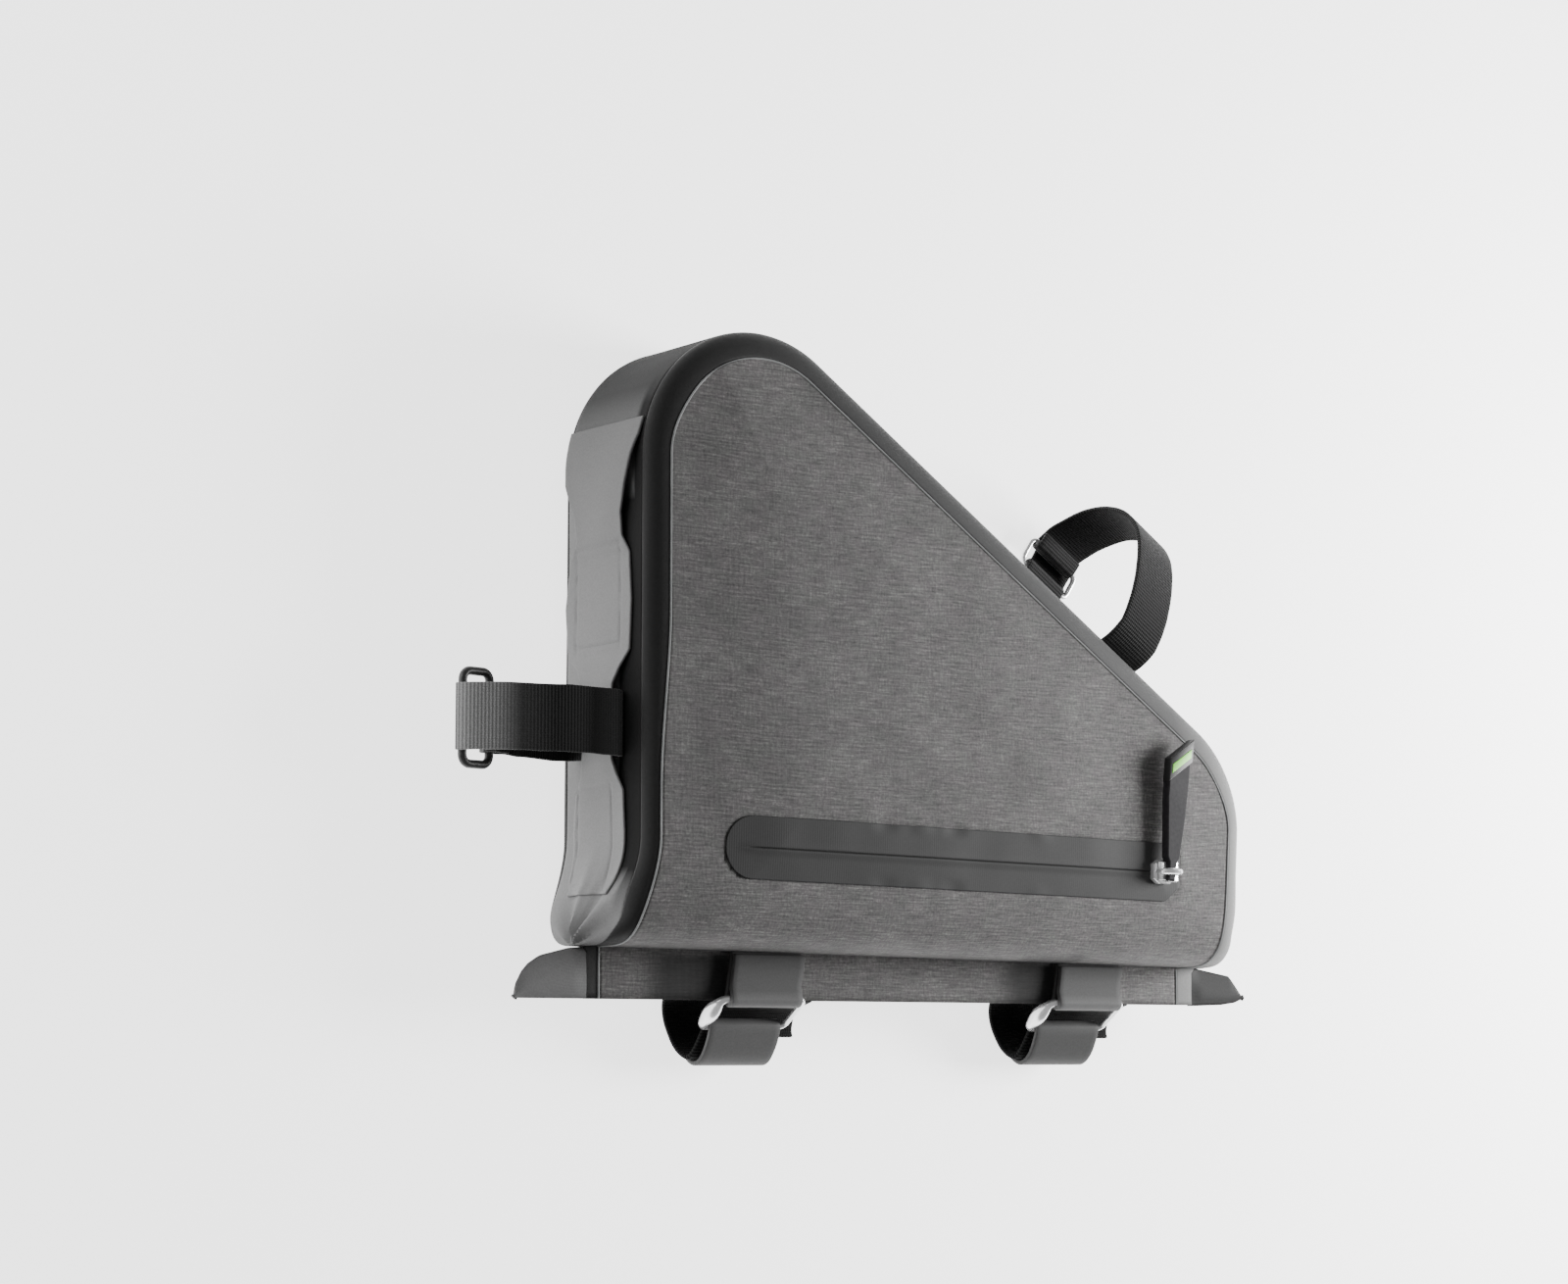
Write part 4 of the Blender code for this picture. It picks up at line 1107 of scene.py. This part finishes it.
def rounded_bar(size, bevel):
    """A block with its lowest face on the floor and all its edges rounded."""
    bm = bmesh.new()
    bmesh.ops.create_cube(bm, size=1)
    bmesh.ops.scale(bm, vec=size, verts=bm.verts[:])
    bmesh.ops.translate(bm, vec=(0, 0, size[2] / 2), verts=bm.verts[:])
    bevel_edges(bm, bm.edges[:], bevel, 3)
    return bm


def outline_plate(outline, low, high, bevel):
    """A plate over a flat outline, raised and with its upper edges rounded."""
    bm = bmesh.new()
    base = bmesh.ops.contextual_create(bm, geom=[bm.verts.new((x, y, low)) for x, y in outline])
    grown = bmesh.ops.extrude_face_region(bm, geom=base["faces"])
    top = [item for item in grown["geom"] if isinstance(item, bmesh.types.BMVert)]
    bmesh.ops.translate(bm, vec=(0, 0, high - low), verts=top)
    bmesh.ops.recalc_face_normals(bm, faces=bm.faces[:])
    rim = [
        edge for edge in bm.edges if all(abs(vert.co.z - high) < 1e-7 for vert in edge.verts)
    ]
    bevel_edges(bm, rim, bevel, 2)
    return bm


def slider():
    """The slider: a plate that narrows at both ends, a raised crown and the pull's bridge."""
    seat = slider_seat()
    half, side = SLIDER_LENGTH / 2, SLIDER_WIDTH / 2
    outline = [
        (-half, -side * 0.62),
        (-half * 0.55, -side),
        (half * 0.35, -side),
        (half, -side * 0.35),
        (half, side * 0.35),
        (half * 0.35, side),
        (-half * 0.55, side),
        (-half, side * 0.62),
    ]
    bm = outline_plate(outline, 0, SLIDER_PLATE, 0.0007)
    for size, where in (
        ((0.0040, 0.0078, 0.0024), (-0.0036, 0.0002, 0.0024)),
        ((0.0052, 0.0036, 0.0030), (0.0016, 0.0026, 0.0024)),
        ((0.0052, 0.0036, 0.0026), (0.0020, -0.0024, 0.0024)),
    ):
        block = rounded_bar(size, 0.0006)
        bmesh.ops.translate(block, vec=where, verts=block.verts[:])
        join(bm, block)
    reach = SLIDER_LENGTH * 0.36
    arch = []
    for k in range(17):
        angle = math.pi * (1 - k / 16)
        arch.append((reach * math.cos(angle), 0.0, 0.0020 + 0.0066 * math.sin(angle) ** 0.7))
    join(bm, tube(arch, 0.00135, 10))
    turn = Matrix.Rotation(ZIP_TILT, 4, "Z")
    place = Matrix.Translation((seat.x, seat.y, seat.z + 2 * GAP)) @ turn
    bmesh.ops.transform(bm, matrix=place, verts=bm.verts[:])
    finish_piece(bm, "slider", ["metal"], ["zip_slider"], "ring_metal", sharp=30)


def pull():
    """The pull: a tapering bar with a slanted tip, a facet across its upper half, a dark rim and
    a green inlay."""
    seat = slider_seat()
    tip_x = seat.x - math.sin(PULL_TURN) * PULL_LENGTH
    tip_y = seat.y + math.cos(PULL_TURN) * PULL_LENGTH
    low_z = seat.z + SLIDER_PLATE + 3 * GAP
    tilt = math.atan2(panel_z(tip_x, tip_y) + PULL_LIFT - low_z, PULL_LENGTH)
    low_z += abs(math.sin(tilt)) * 0.00425
    place = (
        Matrix.Translation((seat.x, seat.y, low_z))
        @ Matrix.Rotation(PULL_TURN, 4, "Z")
        @ Matrix.Rotation(tilt, 4, "X")
    )
    tip, thick, slope = 0.00575, 0.0036, math.tan(math.radians(40))
    drop = 2 * tip * slope
    outline = [
        (-0.0019, -0.0038),
        (0.0019, -0.0038),
        (0.0021, 0.0036),
        (0.0034, 0.0057),
        (tip, PULL_LENGTH * 0.62),
        (tip, PULL_LENGTH),
        (-tip, PULL_LENGTH - drop),
        (-tip, PULL_LENGTH * 0.55),
        (-0.0034, 0.0057),
        (-0.0021, 0.0036),
    ]
    bm = outline_plate(outline, 0, thick, 0.0006)
    facet_start = Vector((-0.0046, PULL_LENGTH - drop - 0.0075, 0))
    facet_way = Vector((0.86, 0.50, 0)).normalized()
    whole = bm.verts[:] + bm.edges[:] + bm.faces[:]
    bmesh.ops.bisect_plane(bm, geom=whole, plane_co=facet_start, plane_no=facet_way)
    for vert in bm.verts:
        beyond = facet_way.dot(vert.co - facet_start)
        if beyond > 0 and vert.co.z > thick * 0.5 and vert.co.y > 0.02:
            vert.co.z -= 0.09 * min(beyond, 0.006)

    def slanted(inset, low, high):
        """A band across the bar, parallel to the tip, between two distances from it."""
        half = tip - inset
        return [
            (-half, PULL_LENGTH - high - slope * (tip + half)),
            (half, PULL_LENGTH - high - slope * (tip - half)),
            (half, PULL_LENGTH - low - slope * (tip - half)),
            (-half, PULL_LENGTH - low - slope * (tip + half)),
        ]

    rim = outline_plate(slanted(-0.00025, -0.0003, 0.0095), -0.0001, thick + 0.0004, 0.0004)
    stripe = outline_plate(slanted(0.0009, 0.0031, 0.0070), thick - 0.0006, thick + 0.0007, 0.0003)
    for plate, name, finish, nodes, slot, sharp in (
        (bm, "pull_bar", "rubber", ["zip_pull"], "pull_rubber", 20),
        (rim, "pull_tip", "rim", (), "pull_rubber", 30),
        (stripe, "pull_inlay", "green", ["pull_stripe"], "pull_green", 30),
    ):
        bmesh.ops.transform(plate, matrix=place, verts=plate.verts[:])
        finish_piece(plate, name, [finish], nodes, slot, sharp)


# Straps and rings


def arc(centre, radius, first, last, count):
    turns = [math.radians(blend(first, last, k / count)) for k in range(count + 1)]
    return [
        (centre[0] + radius * math.cos(turn), centre[1] + radius * math.sin(turn)) for turn in turns
    ]


def smooth_path(points, pieces=8):
    """A Catmull-Rom curve through flat points."""
    ends = [points[0], *points, points[-1]]
    made = []
    for a, b, c, d in zip(ends, ends[1:], ends[2:], ends[3:]):
        for k in range(pieces):
            t = k / pieces
            made.append(
                tuple(
                    0.5
                    * (
                        2 * q
                        + (r - p) * t
                        + (2 * p - 5 * q + 4 * r - s) * t**2
                        + (3 * q - p - 3 * r + s) * t**3
                    )
                    for p, q, r, s in zip(a, b, c, d)
                )
            )
    made.append(points[-1])
    return made


def beside(points, distances):
    """The points of a flat path, each moved to its side by its own distance."""
    moved = []
    for i, ((x, y), distance) in enumerate(zip(points, distances)):
        before, after = points[max(0, i - 1)], points[min(len(points) - 1, i + 1)]
        dx, dy = after[0] - before[0], after[1] - before[1]
        length = math.hypot(dx, dy)
        moved.append((x - dy / length * distance, y + dx / length * distance))
    return moved


def doubled(path, from_index, first, last):
    """The last part of a path, led back beside itself at a distance from first to last."""
    tail = path[from_index:]
    count = len(tail) - 1
    distances = [blend(last, first, smoothstep(2 * k / count - 1)) for k in range(count + 1)]
    return beside(tail, distances)[::-1]


def strap(name, path, place, width, finishes, nodes, slot, shifts=(0.0, 0.0), moving=None,
          centre=None, inner_until=0):
    """A strap along a flat path, its edges uneven as woven edges are. Of its two finishes the
    second is on the side that faces the centre, and all of it up to point inner_until."""
    first, last = moving or (0, len(path) - 1)
    lengths = [0.0]
    for a, b in zip(path, path[1:]):
        lengths.append(lengths[-1] + math.dist(a, b))
    run = lengths[last] - lengths[first]
    count = len(path) - 1

    def seat(u, v):
        k = round(v * count)
        share = min(1.0, max(0.0, (lengths[k] - lengths[first]) / run))
        wander = 0.00025 * noise.noise(Vector((lengths[k] * 150, 3.0 * (u > 0.5), width * 100)))
        side = blend(*shifts, share) + (u - 0.5) * (width + 2 * wander)
        return place(path[k][0], path[k][1], side)

    bm = cloth_grid(12, count, seat)
    if centre is not None:
        face_away(bm, centre)
    if inner_until:
        layer = bm.loops.layers.uv["flat"]
        for face in bm.faces:
            middle = sum(loop[layer].uv.y for loop in face.loops) / len(face.loops)
            face.material_index = 1 if middle < lengths[inner_until] else 0
    piece = finish_piece(bm, name, finishes, nodes, slot, sharp=70)
    shell = wall(piece, WEBBING, 0.0)
    if centre is not None:
        shell.material_offset = 1
    edge = piece.modifiers.new("edge", "BEVEL")
    edge.width = 0.0005
    edge.segments = 2
    edge.limit_method = "ANGLE"
    edge.angle_limit = math.radians(60)


def ring(name, low, high, place, side_half, wire, finish, nodes, slot, shift=0.0, swell=0.0):
    """A ring with round corners, its side bar towards the seat tube swollen."""
    span = math.dist(low, high)
    corner = wire + RING_SIDE_ROOM
    flat = []
    for centre_side, centre_along, first in (
        (side_half - corner, span - corner, 0),
        (corner - side_half, span - corner, 90),
        (corner - side_half, corner, 180),
        (side_half - corner, corner, 270),
    ):
        flat += arc((centre_side, centre_along), corner, first, first + 90, 10)
        if first == 90:
            low_side, high_side = corner, span - corner
            flat += [(-side_half, blend(high_side, low_side, k / 8)) for k in range(1, 8)]
    points = []
    for side, along in flat:
        share = along / span
        a, b = blend(low[0], high[0], share), blend(low[1], high[1], share)
        points.append(place(a, b, side + shift))
    count = len(flat) - 1

    def taper(share):
        side, along = flat[round(share * count)]
        return 1 + swell * (side < 0) * hump(along - span / 2, span * 0.62)

    bm = tube(points, wire, 14, closed=True, taper=taper)
    finish_piece(bm, name, [finish], nodes, slot)


def bar_room(wire):
    """From the middle of a ring's bar to the middle of the webbing round it."""
    return wire + GAP + WEBBING / 2


LAYER = WEBBING + 2 * GAP
TOP_LOOP_PATH = (
    # share of the fin's height up from its edge, share of the drop below it, share of the depth
    (0.22, 0.00, 0.20),
    (0.20, 0.00, 0.55),
    (0.05, 0.00, 0.84),
    (0.00, 0.30, 0.93),
    (0.00, 0.70, 0.84),
    (0.00, 0.90, 0.66),
    (0.00, 0.82, 0.53),
)


def top_strap(number, centre_x):
    """A top-tube strap: its tab on the fin, ring, loop, and a black hook end behind the ring."""
    room = bar_room(RING_WIRE)
    foot = FIN_HALF + GAP + WEBBING / 2
    front, back = HALF_DEPTH + foot, HALF_DEPTH - foot
    fold = fold_y(centre_x)
    top_bar = (FIN_EDGE_Y + 0.02 * FIN_HEIGHT, front + room)
    low_bar = (
        top_bar[0] + RING_SPAN * math.cos(RING_LEAN),
        top_bar[1] + RING_SPAN * math.sin(RING_LEAN),
    )

    def place(y, z, side):
        return (centre_x + side, y, z)

    tab = [(fold + GAP, front), (fold - 0.004, front), (top_bar[0] + room, front)]
    tab += arc(top_bar, room, -90, -270, 14)
    bend = [(top_bar[0] + 2 * room, front + LAYER + GAP), (fold - WEBBING / 2, front + LAYER)]
    tab += [
        (blend(bend[0][0], bend[1][0], k / 6), blend(bend[0][1], bend[1][1], smoothstep(k / 4)))
        for k in range(7)
    ]
    node = f"top_strap_{number}"

    def tab_place(y, z, side):
        return place(y, z, side + TOP_TAB_SKEW * smoothstep((y - FIN_EDGE_Y) / FIN_HEIGHT))

    strap(f"{node}_tab_cloth", tab, tab_place, TOP_STRAP_WIDTH, ["tab"], [f"{node}_tab"],
          "strap_cloth")
    half = TOP_STRAP_WIDTH / 2 + RING_SIDE_ROOM + RING_WIRE
    ring(f"{node}_wire", low_bar, top_bar, place, half, RING_WIRE * 1.15, "metal",
         [f"{node}_ring"], "ring_metal", swell=1.6)
    hook = [
        (low_bar[0] - 0.004, low_bar[1] - 0.0045),
        (low_bar[0], low_bar[1] - 0.0050),
        (FIN_EDGE_Y - 0.003, low_bar[1] - 0.0015),
        (FIN_EDGE_Y + 0.0005, HALF_DEPTH - 0.0005),
    ]
    strap(f"{node}_hook_end", smooth_path(hook), place, TOP_STRAP_WIDTH + 0.006,
          ["inner_webbing"], (), "webbing", (0.0075, 0.0075))
    deepest = HALF_DEPTH - WEBBING
    points = [(fold - WEBBING, back), (FIN_EDGE_Y + 0.45 * FIN_HEIGHT, back)]
    for fin, drop, deep in TOP_LOOP_PATH:
        y = FIN_EDGE_Y + fin * FIN_HEIGHT - drop * TOP_LOOP_DROP
        points.append((y, HALF_DEPTH - deep * deepest))
    points.append((low_bar[0], low_bar[1] - room))
    inner = smooth_path(points)
    turn = arc(low_bar, room, -90, 90, 12)
    outer = doubled(inner, -27, 2 * room, LAYER)
    loop = inner[:-1] + turn + outer[1:]
    shifts, moving = (-TOP_STRAP_SKEW, 0.0), (0, len(inner) - 1)
    pair = ["strap", "inner_webbing"]
    strap(f"{node}_loop_cloth", loop, place, TOP_STRAP_WIDTH, pair, [f"{node}_loop"], "webbing",
          shifts, moving, inner_until=len(inner) + 4)


def seat_strap():
    """The seat-tube strap: one length of webbing from its ring past the bag's wall and back."""
    room = bar_room(SEAT_RING_WIRE)
    y = FOLD_Y + SEAT_STRAP_FROM_FOLD
    reach = SEAT_STRAP_REACH
    far_bar = (reach, HALF_DEPTH + SEAT_RING_RISE / 2)
    near_bar = (reach - SEAT_RING_SPAN, HALF_DEPTH - SEAT_RING_RISE / 2)
    under = GAP + WEBBING / 2
    edge = 0.012

    def place(out, z, side):
        return (SEAT_X - out, y + side, z)

    back_edge, front_edge = HALF_DEPTH - edge, HALF_DEPTH + edge
    points = [
        (near_bar[0], near_bar[1] - room),
        (near_bar[0] - SEAT_RING_SPAN, HALF_DEPTH - HALF_DEPTH / 4),
        (0.36 * reach, HALF_DEPTH - 0.48 * HALF_DEPTH),
        (0.12 * reach, HALF_DEPTH - 0.60 * HALF_DEPTH),
        (under + WEBBING, back_edge - 3 * WEBBING),
        (under, back_edge),
        (under, HALF_DEPTH),
        (under, front_edge),
        (under + WEBBING, front_edge + 1.5 * WEBBING),
        (under + 4 * WEBBING, front_edge + 2.2 * WEBBING),
        (0.40 * reach, HALF_DEPTH + 0.60 * HALF_DEPTH),
        (0.72 * reach, HALF_DEPTH + 0.48 * HALF_DEPTH),
        (far_bar[0] - room / 2, far_bar[1] + 2 * room),
        (far_bar[0] + room, far_bar[1]),
    ]
    eye = arc(near_bar, room, 90, -90, 12)
    lap = [(near_bar[0] - LAP_LENGTH, near_bar[1] + room / 4)]
    path = lap + eye[:-1] + smooth_path(points)
    pair = ["seat_webbing", "inner_webbing"]
    middle = Vector(place(0.5 * reach, HALF_DEPTH, 0.0))
    strap("seat_strap_cloth", path, place, SEAT_STRAP_WIDTH, pair, ["seat_strap"], "webbing",
          centre=middle)
    half = SEAT_STRAP_WIDTH / 2 + RING_SIDE_ROOM + 2 * SEAT_RING_WIRE
    ring("seat_strap_loop", near_bar, far_bar, place, half, SEAT_RING_WIRE * 1.1,
         "plastic", ["seat_strap_ring"], "ring_plastic")


SLANT_LOOP_PATH = (
    # share of the reach outwards, share of the body's depth
    (0.88, 0.11),
    (1.02, 0.27),
    (1.07, 0.45),
    (1.02, 0.66),
    (0.87, 0.83),
    (0.64, 0.93),
    (0.39, 0.975),
    (0.18, 0.95),
    (0.05, 0.86),
)


def slant_strap():
    """The down-tube strap: anchor, ring, a hook end behind it, and the loop to the front weld."""
    room = bar_room(RING_WIRE)
    start = [
        CORNER_CENTRE[i] + CORNER_RADIUS * SLANT_NORMAL[i] - SLANT_STRAP_FROM_CORNER * SLANT_RUN[i]
        for i in range(2)
    ]
    reach, depth = SLANT_STRAP_REACH, BODY_DEPTH
    wall_out = GAP + WEBBING / 2
    low_bar = (SLANT_RING_FROM_WALL, SLANT_RING_HEIGHT)
    high_bar = (low_bar[0] + SLANT_RING_SPAN, low_bar[1])

    def place(out, z, side):
        x, y = (start[i] + out * SLANT_NORMAL[i] + side * SLANT_RUN[i] for i in range(2))
        return (x, y, z)

    anchor = smooth_path(
        [
            (wall_out, 0.42 * depth),
            (wall_out, 0.24 * depth),
            (0.06 * reach, 0.13 * depth),
            (0.25 * reach, 0.075 * depth),
            (low_bar[0] - 2 * room, 0.055 * depth),
            (low_bar[0], low_bar[1] - room),
        ]
    )
    lap = [(low_bar[0] - 2 * LAP_LENGTH, low_bar[1] + room / 3)]
    anchor = anchor[:-1] + arc(low_bar, room, -90, 90, 12) + lap
    back = (-SLANT_BACK_SKEW, -SLANT_BACK_SKEW)
    strap("slant_anchor_cloth", anchor, place, SLANT_STRAP_WIDTH, ["webbing"],
          ["slant_strap_anchor"], "webbing", back)
    hook = [
        (low_bar[0] - 0.010, low_bar[1] - 0.0040),
        (low_bar[0], low_bar[1] - 0.0042),
        (high_bar[0] + 0.002, high_bar[1] - 0.0040),
    ]
    strap("slant_hook_end", smooth_path(hook), place, SLANT_STRAP_WIDTH - 0.001,
          ["inner_webbing"], (), "webbing", (0.003 - SLANT_BACK_SKEW,) * 2)
    half = SLANT_STRAP_WIDTH / 2 + RING_SIDE_ROOM + RING_WIRE
    ring("slant_strap_wire", low_bar, high_bar, place, half, RING_WIRE * 1.1, "metal",
         ["slant_strap_ring"], "ring_metal", -SLANT_BACK_SKEW)
    points = [(high_bar[0], high_bar[1] - room)]
    points += [(out * reach, front * depth) for out, front in SLANT_LOOP_PATH]
    points += [(wall_out, SLANT_WELD_TOP), (wall_out, SLANT_WELD_TOP - SLANT_WELD_LENGTH)]
    turn = arc(high_bar, room, 90, 270, 12)
    lap = [(high_bar[0] + 2 * room, high_bar[1] + room + GAP)]
    loop = lap + turn[:-1] + smooth_path(points)
    shifts, moving = (-SLANT_BACK_SKEW, SLANT_FRONT_SKEW), (len(turn), len(loop) - 26)
    pair = ["webbing", "inner_webbing"]
    middle = Vector(place(0.45 * reach, HALF_DEPTH, 0.0))
    strap("slant_loop_cloth", loop, place, SLANT_STRAP_WIDTH, pair, ["slant_strap_loop"],
          "webbing", shifts, moving, centre=middle)


# Floor and light


def studio():
    """A pale floor and soft light."""
    floor = bmesh.new()
    bmesh.ops.create_grid(floor, x_segments=1, y_segments=1, size=6)
    mesh = as_mesh("floor", floor)
    paper = Finish("floor_paper", 0.9)
    paper.colour(
        paper.ramp(paper.noise((0.002, 0.002, 0.002)), ((0.3, (0.92,) * 3), (0.7, (0.94,) * 3)))
    )
    paper.shader.inputs["Emission Color"].default_value = (1.0, 1.0, 1.0, 1.0)
    paper.shader.inputs["Emission Strength"].default_value = 2.4
    mesh.materials.append(paper.material)
    stage = placed("floor", mesh)

    world = bpy.data.worlds.new("studio")
    world.use_nodes = True
    sky = world.node_tree.nodes["Background"]
    sky.inputs["Color"].default_value = (1.0, 1.0, 1.0, 1.0)
    sky.inputs["Strength"].default_value = 0.30
    bpy.context.scene.world = world
    for name, place, target, size, power in (
        ("key", (0.74, -0.02, 0.40), (0.05, -0.02, 0.03), 0.35, 16.5),
        ("rim", (-0.95, 0.35, 0.22), (-0.15, 0.0, 0.03), 0.5, 3.0),
    ):
        lamp = bpy.data.lights.new(name, "AREA")
        lamp.shape = "SQUARE"
        lamp.size = size
        lamp.energy = power
        holder = placed(name, lamp)
        aim = (Vector(target) - Vector(place)).to_track_quat("-Z", "Y")
        holder.matrix_world = Matrix.Translation(place) @ aim.to_matrix().to_4x4()


def main():
    set_camera()
    front_panel()
    back_panel()
    gusset_wall()
    band("front_band", 1)
    band("back_band", -1)
    seam_line()
    wings()
    overlay()
    zip_strip()
    slider()
    pull()
    for number in (1, 2):
        centre = SEAT_X + TOP_STRAP_FROM_SEAT + (number - 1) * TOP_STRAP_PITCH
        top_strap(number, centre)
    seat_strap()
    slant_strap()
    studio()


main()
